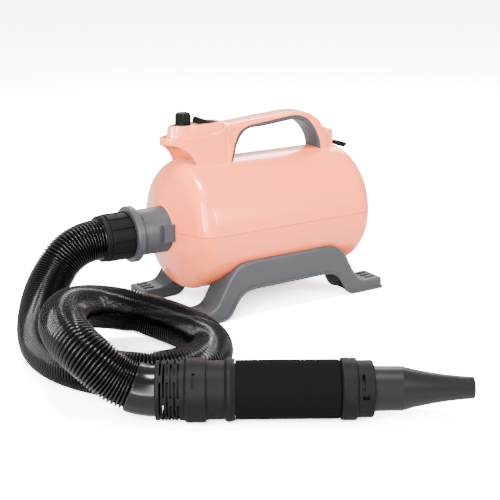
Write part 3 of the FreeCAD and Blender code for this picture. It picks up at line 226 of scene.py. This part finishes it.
PINK = finish("pink_shell", (1.0, 0.175, 0.06), 0.3, (1800.0, 0.05), Specular_IOR_Level=0.4,
              Coat_Weight=0.6, Coat_Roughness=0.03)
calm_bounces(PINK, (0.72, 0.42, 0.36))
GREY = finish("grey_shell", (0.036, 0.037, 0.041), 0.42, (1400.0, 0.14), Specular_IOR_Level=0.3)
BLACK = finish("black_plastic", (0.003, 0.003, 0.0032), 0.55, (1500.0, 0.1), Specular_IOR_Level=0.08)
NOZZLE = finish("nozzle_plastic", (0.004, 0.004, 0.0042), 0.36, (1200.0, 0.12), Specular_IOR_Level=0.2)
HOSE = finish("hose_plastic", (0.0012, 0.0012, 0.0013), 0.16, (900.0, 0.02), Specular_IOR_Level=0.22)
FOAM = finish("grip_foam", (0.0022, 0.0022, 0.0023), 0.9, (700.0, 0.9), gloss_drift=0.1, colour_drift=0.3,
              Specular_IOR_Level=0.04)
RUBBER = finish("black_rubber", (0.007, 0.007, 0.007), 0.7, (900.0, 0.3), Specular_IOR_Level=0.2)
SPONGE = finish("filter_foam", (0.025, 0.025, 0.027), 0.95, (500.0, 1.0), colour_drift=0.5)
SCREW = finish("screw_steel", (0.35, 0.35, 0.36), 0.28, (600.0, 0.1), Metallic=1.0)
STEEL = finish("motor_steel", (0.3, 0.31, 0.32), 0.4, (800.0, 0.2), Metallic=1.0)
ALUMINIUM = finish("fan_aluminium", (0.5, 0.5, 0.52), 0.35, (500.0, 0.2), Metallic=1.0)
COPPER = finish("copper", (0.6, 0.22, 0.08), 0.35, (1500.0, 0.6), Metallic=1.0)
CARBON = finish("carbon", (0.01, 0.01, 0.01), 0.6, (900.0, 0.3))
BOARD = finish("board_green", (0.01, 0.08, 0.03), 0.45, (300.0, 0.2))


def make_floor_finish():
    """Matt floor that lights the object as pale paper would, and shows nearly white to the camera."""
    material = finish("floor", (0.6, 0.6, 0.6), 0.8, (40.0, 0.02), gloss_drift=0.02, colour_drift=0.01,
                      Specular_IOR_Level=0.0)
    tree = material.node_tree
    group = grain_node(tree)
    gain = arithmetic(tree, "ADD", arithmetic(tree, "MULTIPLY", camera_share(tree), FLOOR_GAIN), 1.0)
    tint = add_node(tree, "ShaderNodeVectorMath", operation="SCALE")
    tree.links.new(group.outputs["Color"], tint.inputs[0])
    tree.links.new(gain, tint.inputs["Scale"])
    tree.links.new(tint.outputs[0], tree.nodes["Principled BSDF"].inputs["Base Color"])
    return material


FLOOR = make_floor_finish()

CAD_FINISH = {
    "pink_shell": PINK, "grey_shell": GREY, "dark_plastic": BLACK, "nozzle_plastic": NOZZLE,
    "black_hose": HOSE, "grip_foam": FOAM, "black_rubber": RUBBER, "filter_foam": SPONGE,
    "screw_steel": SCREW, "motor_steel": STEEL, "fan_aluminium": ALUMINIUM, "copper": COPPER,
    "carbon": CARBON, "board_green": BOARD,
}


def dress_cad():
    """Every carried-over node gets the finish of its material slot."""
    for part in frame["record"]["subparts"]:
        node = frame["nodes"][part["node"]]
        node.data.materials.clear()
        node.data.materials.append(CAD_FINISH[part["material_slot"]])


# ---------------------------------------------------------------- mesh building blocks
def unit(vectors):
    """The vectors at length 1."""
    return vectors / np.maximum(np.linalg.norm(vectors, axis=-1, keepdims=True), 1e-12)


def blend_points(points, count):
    """A smooth line (Catmull-Rom) through points, sampled count times over its whole length."""
    points = np.asarray(points, float)
    padded = np.vstack([2 * points[0] - points[1], points, 2 * points[-1] - points[-2]])
    where = np.linspace(0, len(points) - 1 - 1e-9, count)
    cell = where.astype(int)
    t = (where - cell)[:, None]
    a, b, c, d = padded[cell], padded[cell + 1], padded[cell + 2], padded[cell + 3]
    square, cube = 2 * a - 5 * b + 4 * c - d, 3 * b - a - 3 * c + d
    return 0.5 * (2 * b + (c - a) * t + square * t ** 2 + cube * t ** 3)


def quads(rows, columns, close_rows, close_columns):
    """Vertex numbers of each face of a rows x columns grid."""
    row = np.arange(rows if close_rows else rows - 1)[:, None]
    column = np.arange(columns if close_columns else columns - 1)[None, :]
    next_row, next_column = (row + 1) % rows, (column + 1) % columns
    corners = np.broadcast_arrays(row * columns + column, row * columns + next_column,
                                  next_row * columns + next_column, next_row * columns + column)
    return np.stack(corners, -1).reshape(-1, 4)


def add_piece(name, grids, material, body, replaced, sharp=35.0):
    """One object from grids of points in millimetres about the dryer.

    Each grid is (points, close rows, close columns). Edges that turn by more than sharp degrees show."""
    verts, faces, base = [], [], 0
    for points, close_rows, close_columns in grids:
        rows, columns = points.shape[:2]
        faces.append(quads(rows, columns, close_rows, close_columns) + base)
        verts.append((points.reshape(-1, 3) + DRYER) * 0.001)
        base += rows * columns
    verts, faces = np.vstack(verts), np.vstack(faces)
    mesh = bpy.data.meshes.new(name)
    mesh.from_pydata(verts, [], faces)
    mesh.materials.append(material)
    mesh.shade_smooth()
    mesh.set_sharp_from_angle(angle=math.radians(sharp))
    piece = bpy.data.objects.new(name, mesh)
    bpy.context.collection.objects.link(piece)
    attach(piece, body)
    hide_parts(*replaced)
    return piece


# ---------------------------------------------------------------- hose
HOSE_CREST, HOSE_DEPTH, HOSE_PITCH, HOSE_BORE = 23.0, 2.9, 3.2, 19.0
RIB_STEPS = 6  # rings of points on each rib
COLLAR_LENGTH, COLLAR_RADIUS = 22.0, 24.0
HOSE_AROUND = 48
HOSE_ROUTE = [
    (-207, 0, 100), (-238, 0, 100), (-273, -5, 62), (-297, -34, 36), (-313, -73, 24), (-318, -116, 23),
    (-306, -160, 23), (-281, -198, 23), (-246, -221, 24), (-205, -219, 23), (-170, -190, 23),
    (-162, -148, 24), (-179, -106, 31), (-212, -79, 41), (-250, -79, 53), (-285, -101, 64),
    (-313, -138, 72), (-331, -179, 74), (-331, -221, 66), (-297.5, -249.5, 30), (-277, -262, 30),
]


def route_samples():
    """Points along the smooth line that has the route's points as its control points."""
    curve = bpy.data.curves.new("hose_line", "CURVE")
    curve.dimensions = "3D"
    curve.resolution_u = 40
    spline = curve.splines.new("NURBS")
    spline.points.add(len(HOSE_ROUTE) - 1)
    spots = (np.array(HOSE_ROUTE) + DRYER) * 0.001
    spline.points.foreach_set("co", np.c_[spots, np.ones(len(spots))].ravel())
    spline.order_u = 3
    spline.use_endpoint_u = True
    line = bpy.data.objects.new("hose_line", curve)
    bpy.context.collection.objects.link(line)
    bpy.context.view_layer.update()
    mesh = bpy.data.meshes.new_from_object(line)
    points = np.empty(len(mesh.vertices) * 3)
    mesh.vertices.foreach_get("co", points)
    bpy.data.objects.remove(line)
    bpy.data.meshes.remove(mesh)
    return points.reshape(-1, 3) * 1000 - DRYER


def even_line(points, step):
    """The same line at equal steps, with its distance from the start."""
    travelled = np.r_[0, np.cumsum(np.linalg.norm(np.diff(points, axis=0), axis=1))]
    at = np.linspace(0, travelled[-1], int(round(travelled[-1] / step)) + 1)
    return np.stack([np.interp(at, travelled, points[:, axis]) for axis in range(3)], 1), at


def tube_grid(line, radii, around):
    """Circles of the given radii, square to the line, upright by the vertical."""
    ahead = unit(np.gradient(line, axis=0))
    side = unit(np.cross(ahead, (0, 0, 1.0)))
    up = np.cross(side, ahead)
    turn = np.linspace(0, 2 * np.pi, around, endpoint=False)[None, :, None]
    ring = side[:, None] * np.cos(turn) + up[:, None] * np.sin(turn)
    return line[:, None] + ring * radii[:, None, None]


def add_hose():
    """Rounded ribs with narrow valleys: radius = crest - depth * sin(pi * ribs * part of the length) ^ 4.

    The smooth bore comes back inside the ribs, so that the wall is one closed surface. The end that lies
    in the slotted sleeve is a plain collar."""
    samples = route_samples()
    line, at = even_line(samples, HOSE_PITCH / RIB_STEPS)
    ribs = round(at[-1] / HOSE_PITCH)
    radii = HOSE_CREST - HOSE_DEPTH * np.sin(np.pi * ribs * at / at[-1]) ** 4
    radii = np.where(at[-1] - at < COLLAR_LENGTH, COLLAR_RADIUS, radii)
    outer = tube_grid(line, radii, HOSE_AROUND)
    inside, _ = even_line(samples, 6.0)
    inner = tube_grid(inside, np.full(len(inside), HOSE_BORE), HOSE_AROUND)
    wall = np.concatenate([outer, inner[::-1]])
    hose = add_piece("corrugated_hose", [(wall, True, True)], HOSE, "dryer", ("hose",), 80)


# (distance from the cuff's hose end, radius, depth of the gaps between ribs)
CUFF_PROFILE = (
    (0.0, 20.2, 0.0), (0.0, 25.4, 0.0), (0.4, 26.0, 0.0), (1.2, 26.4, 0.0), (5.6, 26.4, 0.0),
    (6.2, 26.0, 0.0), (6.4, 25.4, 0.0), (6.6, 25.4, 0.0), (7.0, 26.6, 1.0), (7.8, 27.2, 1.6),
    (21.0, 27.2, 1.6), (33.0, 27.2, 1.6), (34.2, 27.0, 1.5), (34.9, 26.4, 0.9), (35.1, 25.0, 0.0),
    (35.1, 23.3, 0.0), (45.0, 23.3, 0.0), (57.1, 23.2, 0.0), (57.4, 22.8, 0.0), (57.4, 20.4, 0.0),
    (57.1, 20.0, 0.0), (20.0, 20.0, 0.0))


def add_cuff():
    """Twelve broad raised ribs with narrow gaps: radius = body - depth where cos(12 * angle) nears 1."""
    turn = np.linspace(0, 2 * np.pi, 288, endpoint=False)
    gap = np.clip((np.cos(12 * turn) - 0.72) / 0.16, 0, 1)
    rows = []
    for along, radius, depth in CUFF_PROFILE:
        reach = radius - depth * gap
        x = np.full(len(turn), HOSE_ROUTE[0][0] + along)
        rows.append(np.c_[x, reach * np.cos(turn), DRUM_HEIGHT + reach * np.sin(turn)])
    add_piece("ribbed_hose_cuff", [(np.stack(rows)[:, ::-1], True, True)], BLACK, "hose_cuff",
              ("hose_cuff",), 30)


# ---------------------------------------------------------------- drum
NOSE_X, NOSE_CORNER, NOSE_TURN = -94.0, 22.0, 71.0
TAIL_X, TAIL_TURN, TAIL_DOME = 107.0, 60.0, 90.0
DRUM_WALL, HOLE_FRONT, HOLE_REAR = 2.6, 26.9, 52.3
SEAM_HEIGHT, SEAM_DEPTH = 2.3, 1.2
SWELL_X, SWELL_HEIGHT, SWELL_LENGTH, SWELL_TURN = -103.0, 4.5, 15.0, 0.42


def drum_profile(inset):
    """x and distance from the axis along the drum's wall: front cone, corner, side, rear corner, rear dome."""
    centre_r = DRUM_RADIUS - NOSE_CORNER
    corner = NOSE_CORNER - inset
    turn = math.radians(NOSE_TURN)
    cone_x, cone_r = NOSE_X - corner * math.sin(turn), centre_r + corner * math.cos(turn)
    cone = np.linspace(HOLE_FRONT, cone_r, 14)[:-1]
    bend = np.linspace(turn, 0, 25)
    side = np.linspace(NOSE_X, TAIL_X, 26)[1:-1]
    tail = np.linspace(0, math.radians(TAIL_TURN), 19)
    dome = TAIL_DOME - inset
    dome_x = TAIL_X + (NOSE_CORNER - TAIL_DOME) * math.sin(tail[-1])
    dome_r = centre_r + (NOSE_CORNER - TAIL_DOME) * math.cos(tail[-1])
    rear = np.linspace(tail[-1], math.acos((HOLE_REAR - dome_r) / dome), 9)[1:]
    x = [cone_x - (cone_r - cone) / math.tan(turn), NOSE_X - corner * np.sin(bend), side,
         TAIL_X + corner * np.sin(tail), dome_x + dome * np.sin(rear)]
    r = [cone, centre_r + corner * np.cos(bend), np.full(len(side), centre_r + corner),
         centre_r + corner * np.cos(tail), dome_r + dome * np.cos(rear)]
    return np.concatenate(x), np.concatenate(r)


def cross_lines(x, reach, angle):
    """A line across the drum at each x, from distances from the axis and angles above the level."""
    return np.stack(np.broadcast_arrays(x[:, None], reach * np.cos(angle), reach * np.sin(angle)), -1)


def half_drum(side):
    """One half of the drum: each station's closed line runs over the outer wall and back along the inner one.

    The outer wall draws in just before the split, so that the two halves meet in a fine groove. Under the
    head's nose the upper half swells by height * exp(-(distance / length) ^ 2 - (angle / turn) ^ 2)."""
    outer_x, outer_r = drum_profile(0.0)
    inner_x, inner_r = drum_profile(DRUM_WALL)
    split = SEAM_HEIGHT / outer_r
    share = np.concatenate([[0.0, 0.0], np.linspace(0, 1, 73), [1.0, 1.0]])
    sunk = np.zeros(len(share))
    sunk[0] = sunk[-1] = SEAM_DEPTH
    edge = np.zeros(len(share))
    edge[:2], edge[2], edge[-3], edge[-2:] = 0.24, 0.6, -0.6, -0.24
    start = np.where(side > 0, np.arcsin(split), -np.arcsin(split))
    span = np.pi - 2 * start
    angle = start[:, None] + span[:, None] * share + edge / outer_r[:, None]
    off_x, off_turn = (outer_x[:, None] - SWELL_X) / SWELL_LENGTH, (angle - np.pi / 2) / SWELL_TURN
    reach = outer_r[:, None] - sunk + SWELL_HEIGHT * np.exp(-off_x ** 2 - off_turn ** 2) * (side > 0)
    over = cross_lines(outer_x, reach, angle)
    back = start[:, None] + span[:, None] * np.linspace(1, 0, 49)
    wall = np.concatenate([over, cross_lines(inner_x, inner_r[:, None], back)], 1)
    wall[..., 2] *= side
    wall[..., 2] += DRUM_HEIGHT
    return wall if side < 0 else wall[:, ::-1]


BLOCK_X, BLOCK_HALF_X, BLOCK_HALF_Y, BLOCK_TOP, BLOCK_AROUND = 103.6, 5.9, 11.5, 195.0, 64
# (height, growth of the half width, corner radius); lengths along x are 0.6 of those across
BLOCK_ROWS = ((168.0, 0.0, 3.0), (185.0, 0.0, 3.0), (192.5, 0.0, 3.0), (194.0, -0.5, 3.0), (194.8, -1.4, 3.0),
              (BLOCK_TOP, -3.0, 3.0), (BLOCK_TOP, -8.0, 1.0))


def rear_block():
    """The rounded block that carries the cover's latch: rounded rectangles stacked up to a crowned top."""
    rows = []
    turn = np.linspace(0, 2 * np.pi, BLOCK_AROUND, endpoint=False)
    for z, grow, corner in BLOCK_ROWS:
        flat_x, flat_y = BLOCK_HALF_X + (grow - corner) * 0.6, BLOCK_HALF_Y + grow - corner
        x = np.clip(np.cos(turn) * 40, -flat_x, flat_x) + corner * 0.6 * np.cos(turn)
        y = np.clip(np.sin(turn) * 40, -flat_y, flat_y) + corner * np.sin(turn)
        rows.append(np.c_[BLOCK_X + x, y, np.full(BLOCK_AROUND, z)])
    rows.append(np.tile((BLOCK_X, 0.0, BLOCK_TOP), (BLOCK_AROUND, 1)))
    return np.stack(rows)


def add_drum():
    lower = [(half_drum(-1), False, True)]
    upper = [(half_drum(1), False, True), (rear_block(), False, True)]
    add_piece("lower_drum_half", lower, PINK, "dryer", ("lower_shell",), 50)
    add_piece("upper_drum_half", upper, PINK, "dryer", ("upper_shell",), 50)


# ---------------------------------------------------------------- control head and handle
HEAD_BACK, HEAD_SHOULDER, HEAD_HALF = -40.0, -90.0, 19.0
HEAD_CORNER, HEAD_BEND, HEAD_TURN, NOSE_BEND = 13.0, 55.0, 32.6, 12.26
RIM_FRONT, RIM_REAR, RIM_START, RIM_ARC = 206.5, 215.4, -95.0, 155.0
SCOOP_X, SCOOP_Z, SCOOP_RADIUS, SCOOP_RECESS, FAR_SHIFT = -123.0, 164.0, 35.0, 5.0, 11.5
PANEL_TOP, PANEL_NOSE, PANEL_EDGE = 219.0, 12.0, 1.3


def head_plan(inset=0.0):
    """Plan of the head as a closed line from the rear, round the nose and back: points and outward normals.

    The side is straight, then bends on a wide arc and closes on the nose's small arc."""
    close = math.radians(HEAD_TURN)
    corner = np.linspace(np.pi / 2, 0, 13)[:-1]
    shoulder = np.linspace(0, close, 17)
    nose = np.linspace(close, np.pi / 2, 13)[1:]
    side_x = np.linspace(HEAD_BACK - HEAD_CORNER, HEAD_SHOULDER, 16)[1:-1]
    turn = np.concatenate([-corner, np.zeros(len(side_x)), shoulder, nose])
    normals = np.c_[-np.sin(turn), -np.cos(turn)]
    centre = np.array([HEAD_SHOULDER, HEAD_BEND - HEAD_HALF])
    nose_centre = centre - (HEAD_BEND - NOSE_BEND) * np.array([math.sin(close), math.cos(close)])
    bend = np.cumsum([len(corner), len(side_x), len(shoulder)])
    points = np.vstack([
        np.array([HEAD_BACK - HEAD_CORNER, HEAD_CORNER - HEAD_HALF]) + HEAD_CORNER * normals[:bend[0]],
        np.c_[side_x, np.full(len(side_x), -HEAD_HALF)],
        centre + HEAD_BEND * normals[bend[1]:bend[2]],
        nose_centre + NOSE_BEND * normals[bend[2]:]])
    mirror = np.array([1.0, -1.0])
    points = np.vstack([points, points[-2::-1] * mirror])
    normals = np.vstack([normals, normals[-2::-1] * mirror])
    return points - np.asarray(inset)[..., None] * normals, normals


def rim_height(x):
    """Height of the head's rim: level at the nose, then a wide arc up towards the handle."""
    reach = np.maximum(x - RIM_START, 0)
    return np.minimum(RIM_FRONT + RIM_ARC - np.sqrt(RIM_ARC ** 2 - reach ** 2), RIM_REAR)


def scoop_height(x, y):
    """Height of the arch scooped out under the nose, far below the head behind it.

    It is a circle's: centre + sqrt(radius ^ 2 - distance ^ 2). The far side's sits further forward."""
    ahead = x - SCOOP_X + FAR_SHIFT * (y > 0)
    return SCOOP_Z + np.sqrt(np.maximum(SCOOP_RADIUS ** 2 - ahead ** 2, 0)) - 200.0 * (ahead > SCOOP_RADIUS)


def scoop_wall():
    """The recessed wall behind the arch: a larger circle, flatter at its top, run across inside the head."""
    turn = np.linspace(math.radians(14), math.radians(92), 33)
    radius = SCOOP_RADIUS + SCOOP_RECESS
    x = SCOOP_X + radius * np.cos(turn)
    z = SCOOP_Z + (radius - 3.5 * np.sin(turn) ** 4) * np.sin(turn)
    plan, _ = head_plan(1.7)
    side = plan[:len(plan) // 2 + 1]
    half = np.interp(x, side[::-1, 0], -side[::-1, 1])
    across = np.linspace(-1, 1, 17)
    grid = np.broadcast_arrays(x[:, None], half[:, None] * across, z[:, None])
    return np.stack(grid, -1)


def stack_rows(rows, extra=0.0):
    """A grid whose rows are (inset from the head's outline, height at each of its points)."""
    grids = []
    for inset, height in rows:
        plan, _ = head_plan(inset + extra)
        grids.append(np.c_[plan, np.broadcast_to(height, len(plan))])
    return np.stack(grids)


def add_head():
    """Control head: a thin wall with a rolled rim, arched open under the nose, and the arch's recessed wall.

    The wall's foot follows the drum: height = axis + sqrt(radius ^ 2 - y ^ 2)."""
    plan, _ = head_plan()
    x, y = plan.T
    foot = np.sqrt((DRUM_RADIUS - 0.1) ** 2 - np.minimum(y ** 2, 400)) + DRUM_HEIGHT - 0.3
    low = np.maximum(foot, scoop_height(x, y))
    rim = rim_height(x)
    roll = np.linspace(0, np.pi / 2, 6)
    rows = [(1.8, np.minimum(low + 16, rim - 5)), (1.8, low)]
    rows += [(1.4, low - 0.2), (0.4, low - 0.2), (0.0, low + 0.3)]
    rows += [(0.0, low + (rim - 1.4 - low) * part) for part in (0.25, 0.5, 0.75)]
    rows += [(1.4 - 1.4 * math.cos(a), rim - 1.4 + 1.4 * math.sin(a)) for a in roll]
    rows += [(2.6, rim), (3.0, rim - 0.4), (3.1, rim - 5.0)]
    wall = stack_rows(rows)
    ceiling = stack_rows([(1.8, rim - 4.5), (6.0, rim - 4.5), (9.0, rim - 4.5)])
    return [(wall[:, ::-1], False, True), (ceiling, False, True), (scoop_wall(), False, False)]


# side outlines (x, height) from the head over the grip to the rear foot
HANDLE_OUTER = [
    (-49, 166), (-49.5, 205), (-47.5, 213.2), (-42, 215.6), (-32, 216.4), (-18.5, 217.5), (0, 219),
    (20, 219.9), (40, 221.2), (51.5, 221.8), (66, 220.2), (80, 213.8), (91, 203), (97.5, 190), (99.8, 178),
    (100, 168)]
HANDLE_BORDER = [
    (-42.7, 168), (-41.6, 177), (-39.3, 184), (-36.3, 194), (-29.5, 205.5), (-17.7, 211.9), (0.4, 214),
    (20, 216), (40, 218), (50.7, 218), (60, 215.9), (68.5, 211.2), (77, 201.8), (83, 191.5), (87, 180),
    (88, 168)]
HANDLE_INNER = [
    (-38.8, 168), (-37.7, 177), (-35.4, 182.8), (-32.2, 191.6), (-25.9, 201.8), (-15.6, 208.4),
    (0.4, 209.2), (20, 210.7), (40, 212.6), (48, 212.9), (57, 211), (66, 206.5), (74.3, 199.3),
    (80.8, 190.3), (84.9, 179.5), (86, 168)]
# half width of the cover by part of its length
HANDLE_HALF = ((0, 0.1, 0.2, 0.3), (18.4, 18.2, 16.8, 16.0))


def section_grid(inner, outer, half, round_in, round_out, steps):
    """U-shaped sections: up the near side from inner, over the outer face and down the far side.

    round_in is how far the foot of each side is drawn in, and round_out is the radius of the outer edges."""
    along = unit(outer - inner)
    height = np.linalg.norm(outer - inner, axis=1)
    turn = np.linspace(0, np.pi / 2, steps)
    out = np.minimum(round_out, height * 0.85)
    level = [np.zeros(len(inner)), np.full(len(inner), 0.4)]
    across = [np.full(len(inner), half - round_in), np.full(len(inner), half)]
    for angle in turn:
        level.append(height - out + out * math.sin(angle))
        across.append(half - out + out * math.cos(angle))
    for part in (0.6, 0.3, 0.0):
        level.append(height + 0.5 * (1 - part ** 2))
        across.append((half - out) * part)
    level, across = np.array(level).T, np.array(across).T
    level = np.hstack([level, level[:, -2::-1]])
    across = np.hstack([-across, across[:, -2::-1]])
    place = inner[:, None] + along[:, None] * level[..., None]
    return np.stack([place[..., 0], across, place[..., 1]], -1)


def add_handle():
    """The head and the handle's cover as one piece, and the grey liner that closes the handle's inside."""
    outer = blend_points(HANDLE_OUTER, 150)
    border = blend_points(HANDLE_BORDER, 150)
    inner = blend_points(HANDLE_INNER, 150)
    half = np.interp(np.linspace(0, 1, len(outer)), *HANDLE_HALF)
    cover = section_grid(border, outer, half, 0.6, 5.0, 8)
    add_piece("head_and_handle_cover", add_head() + [(cover, False, False)], PINK, "dryer",
              ("top_housing",))
    liner = section_grid(border + 0.3 * unit(outer - border), inner, half - 0.4, 0.0, 2.0, 6)
    add_piece("handle_grip_liner", [(liner[:, ::-1], False, False)], GREY, "dryer",
              ("handle_liner",))


def add_panel():
    """The raised panel: a wall with a rolled upper edge and a flat face.

    It is set in from the head's outline, and at the nose by nose * (forward part of the normal) ^ 2 more."""
    _, normals = head_plan()
    nose = PANEL_NOSE * np.maximum(0, -normals[:, 0]) ** 2
    roll = np.linspace(0, np.pi / 2, 6)
    wall = PANEL_TOP - PANEL_EDGE
    rows = [(3.4, 202.0), (3.6, 206.0), (5.7, wall)]
    rows += [(7.0 - PANEL_EDGE * math.cos(a), wall + PANEL_EDGE * math.sin(a)) for a in roll]
    rows += [(9.0, PANEL_TOP), (9.2, PANEL_TOP)]
    grid = stack_rows(rows, nose)
    middle = grid[-1].copy()
    middle[:, 1] *= 0.02
    middle[:, 0] = np.clip(middle[:, 0], -108, -56)
    grid = np.concatenate([grid, middle[None]])
    add_piece("raised_control_panel", [(grid[:, ::-1], False, True)], PINK, "dryer",
              ("control_panel",))


KNOB_X, KNOB_FOOT = -96.0, PANEL_TOP + 0.4
# (height, radius, depth of the valleys between lobes)
KNOB_PROFILE = (
    (0.0, 0.01, 0.0), (0.0, 9.3, 0.0), (1.0, 9.4, 0.0), (1.3, 9.0, 0.0), (1.7, 9.2, 0.7),
    (6.5, 9.1, 0.9), (10.8, 9.0, 1.0), (12.2, 8.6, 1.1), (13.1, 7.8, 1.1), (13.5, 6.6, 0.9),
    (13.4, 5.2, 0.4), (13.0, 4.6, 0.0), (12.8, 3.0, 0.0), (12.8, 0.01, 0.0))


def add_knob():
    """Eight lobes: radius = body - depth * cos(4 * angle) ^ 10, with a crowned top."""
    turn = np.linspace(0, 2 * np.pi, 160, endpoint=False)
    valley = np.abs(np.cos(4 * turn)) ** 10
    rows = []
    for height, radius, depth in KNOB_PROFILE:
        reach = radius - depth * valley
        z = np.full(len(turn), KNOB_FOOT + height)
        rows.append(np.c_[KNOB_X + reach * np.cos(turn), reach * np.sin(turn), z])
    add_piece("lobed_speed_knob", [(np.stack(rows), False, True)], BLACK, "speed_knob",
              ("speed_knob",))


# side outline (x, height) from the front foot over the top to the rear and back underneath
ROCKER_LINE = [
    (-79.6, 216.0), (-79.9, 220.0), (-78.6, 225.2), (-77.9, 225.9), (-76.8, 226.0), (-73.4, 224.6),
    (-72.6, 223.9), (-68.0, 221.9), (-62.0, 220.6), (-56.0, 219.9), (-54.0, 219.4), (-53.4, 218.6),
    (-53.6, 216.0), (-66.0, 213.0)]
# (y, how far the outline is drawn in towards its middle)
ROCKER_ROWS = ((-7.75, 0.99), (-7.75, 0.1), (-7.6, 0.03), (-7.2, 0.0), (0.0, 0.0), (7.2, 0.0), (7.6, 0.03),
               (7.75, 0.1), (7.75, 0.99))


def add_rocker():
    """A wedge with a raised front block: its side outline, drawn in at both flanks for rounded edges."""
    line = np.array(ROCKER_LINE)
    middle = line.mean(0)
    rows = []
    for y, shrink in ROCKER_ROWS:
        drawn = line + (middle - line) * shrink
        rows.append(np.c_[drawn[:, 0], np.full(len(line), y), drawn[:, 1]])
    add_piece("wedge_power_rocker", [(np.stack(rows)[::-1], False, True)], BLACK, "power_rocker",
              ("power_rocker",), 40)


# ---------------------------------------------------------------- base
# half of a rail's side outline (x from its middle, height), along its top and along its foot
RAIL_TOP = [
    (0, 67), (28, 67), (48, 67), (57, 66.6), (68, 63.6), (76, 57.6), (84, 48.2), (90, 37.6), (95, 29),
    (99.5, 21.5), (105, 16.2), (112, 14.2), (122, 14), (130, 14), (137, 14)]
RAIL_LOW = [
    (0, 33), (26, 33), (44, 33), (54, 32.7), (63, 30.4), (70, 25.4), (75, 18.6), (78.5, 12.8), (81.5, 8),
    (86, 3.6), (93, 1.2), (102, 0.8), (114, 0.8), (126, 0.8), (137, 0.8)]
RAIL_X, RAIL_OUT, RAIL_IN = 5.0, 73.7, 37.5
RAIL_ROUND_OUT, RAIL_ROUND_IN = 3.5, 3.0
SEAT_RADIUS = DRUM_RADIUS + 0.3  # the base keeps this far from the drum's axis
# the saddle's section (x, distance from the drum's axis)
SADDLE_LINE = ((-44.6, SEAT_RADIUS), (-45.0, 75.8), (-45.0, 78.6), (-44.4, 79.1), (54.4, 79.1), (55.0, 78.6),
               (55.0, 75.8), (54.6, SEAT_RADIUS))


def rail_grid(side):
    """A channel rail: outer panel with a lip along its foot, rounded upper edges, top and inner panel.

    Each row is y and the distance above the foot's outline, towards the top's."""
    half = np.array(RAIL_TOP, float), np.array(RAIL_LOW, float)
    top, low = [blend_points(np.vstack([line[:0:-1] * (-1, 1), line]), 181) for line in half]
    up = unit(top - low)
    height = np.linalg.norm(top - low, axis=1)
    turn = np.linspace(0, np.pi / 2, 7)
    out, back = height - RAIL_ROUND_OUT, height - RAIL_ROUND_IN
    rows = [(74.3, 0.0), (75.3, 0.0), (75.7, 0.5), (75.7, 2.5), (75.3, 2.9), (73.8, 3.1)]
    rows = [(y, np.full(len(top), level)) for y, level in rows]
    rows += [(RAIL_OUT, 3.2 + (out - 3.2) * part) for part in (0.1, 0.5, 0.9)]
    rows += [(RAIL_OUT - RAIL_ROUND_OUT * (1 - math.cos(a)), out + RAIL_ROUND_OUT * math.sin(a))
             for a in turn]
    rows += [(y, height) for y in (66.0, 56.0, 46.0)]
    rows += [(RAIL_IN + RAIL_ROUND_IN * (1 - math.sin(a)), back + RAIL_ROUND_IN * math.cos(a))
             for a in turn]
    rows += [(RAIL_IN, back * part) for part in (0.6, 0.3, 0.0)]
    foot = np.zeros(len(top))
    rows += [(40.3, foot), (40.5, height - 4.0), (71.3, height - 4.0), (71.4, foot)]
    grid = []
    for y, level in rows:
        spot = low + up * np.asarray(level)[..., None]
        grid.append(np.c_[spot[:, 0] + RAIL_X, np.full(len(spot), side * y), spot[:, 1]])
    grid = np.stack(grid)
    return grid if side < 0 else grid[::-1]


def under_drum(grid):
    """Keeps the rails outside the drum: points nearer to its axis are moved out along the radius."""
    y, z = grid[..., 1], grid[..., 2] - DRUM_HEIGHT
    reach = np.hypot(y, z)
    scale = np.maximum(1.0, SEAT_RADIUS / reach)
    moved = grid.copy()
    moved[..., 1] = y * scale
    moved[..., 2] = z * scale + DRUM_HEIGHT
    return moved


def saddle_grid():
    """The curved band under the drum that joins the rails: an arc section with rounded ends along X."""
    angle = np.radians(np.linspace(-62, 62, 49))
    rows = []
    for x, radius in SADDLE_LINE:
        z = DRUM_HEIGHT - radius * np.cos(angle)
        rows.append(np.c_[np.full(len(angle), x), radius * np.sin(angle), z])
    return np.stack(rows)


def add_base():
    """The two rails, closed at each end by their own outline drawn in to the middle, and the saddle."""
    grids = []
    for side in (-1, 1):
        rail = under_drum(rail_grid(side))
        grids.append((rail, False, False))
        for end, flip in ((0, side > 0), (-1, side < 0)):
            ring = rail[:, end]
            outward = -1.0 if end == 0 else 1.0
            middle = np.array([ring[:, 0].mean(), side * 56.0, 8.0])
            rows = [ring]
            lip = 1.2 * (ring[:, 2] < 3.6)
            for push, shrink in ((0.0, 0.001), (0.5, 0.005), (0.7, 0.03), (0.7, 0.98)):
                drawn = middle + (ring - middle) * (1 - shrink)
                drawn[:, 0] = ring[:, 0] + outward * (push + lip)
                rows.append(drawn)
            cap = np.stack(rows)
            grids.append((cap[:, ::-1] if flip else cap, False, False))
    grids.append((saddle_grid(), True, False))
    add_piece("arched_base", grids, GREY, "dryer", ("base_frame",))


# ---------------------------------------------------------------- the scene
def add_floor():
    mesh = bpy.data.meshes.new("floor")
    corners = np.array([(-1, -1, 0), (1, -1, 0), (1, 1, 0), (-1, 1, 0)]) * FLOOR_REACH
    mesh.from_pydata(corners, [], [(0, 1, 2, 3)])
    mesh.materials.append(FLOOR)
    floor = bpy.data.objects.new("floor", mesh)
    bpy.context.collection.objects.link(floor)


add_camera()
add_studio()
add_floor()
dress_cad()
add_hose()
add_cuff()
add_drum()
add_handle()
add_panel()
add_rocker()
add_knob()
add_base()
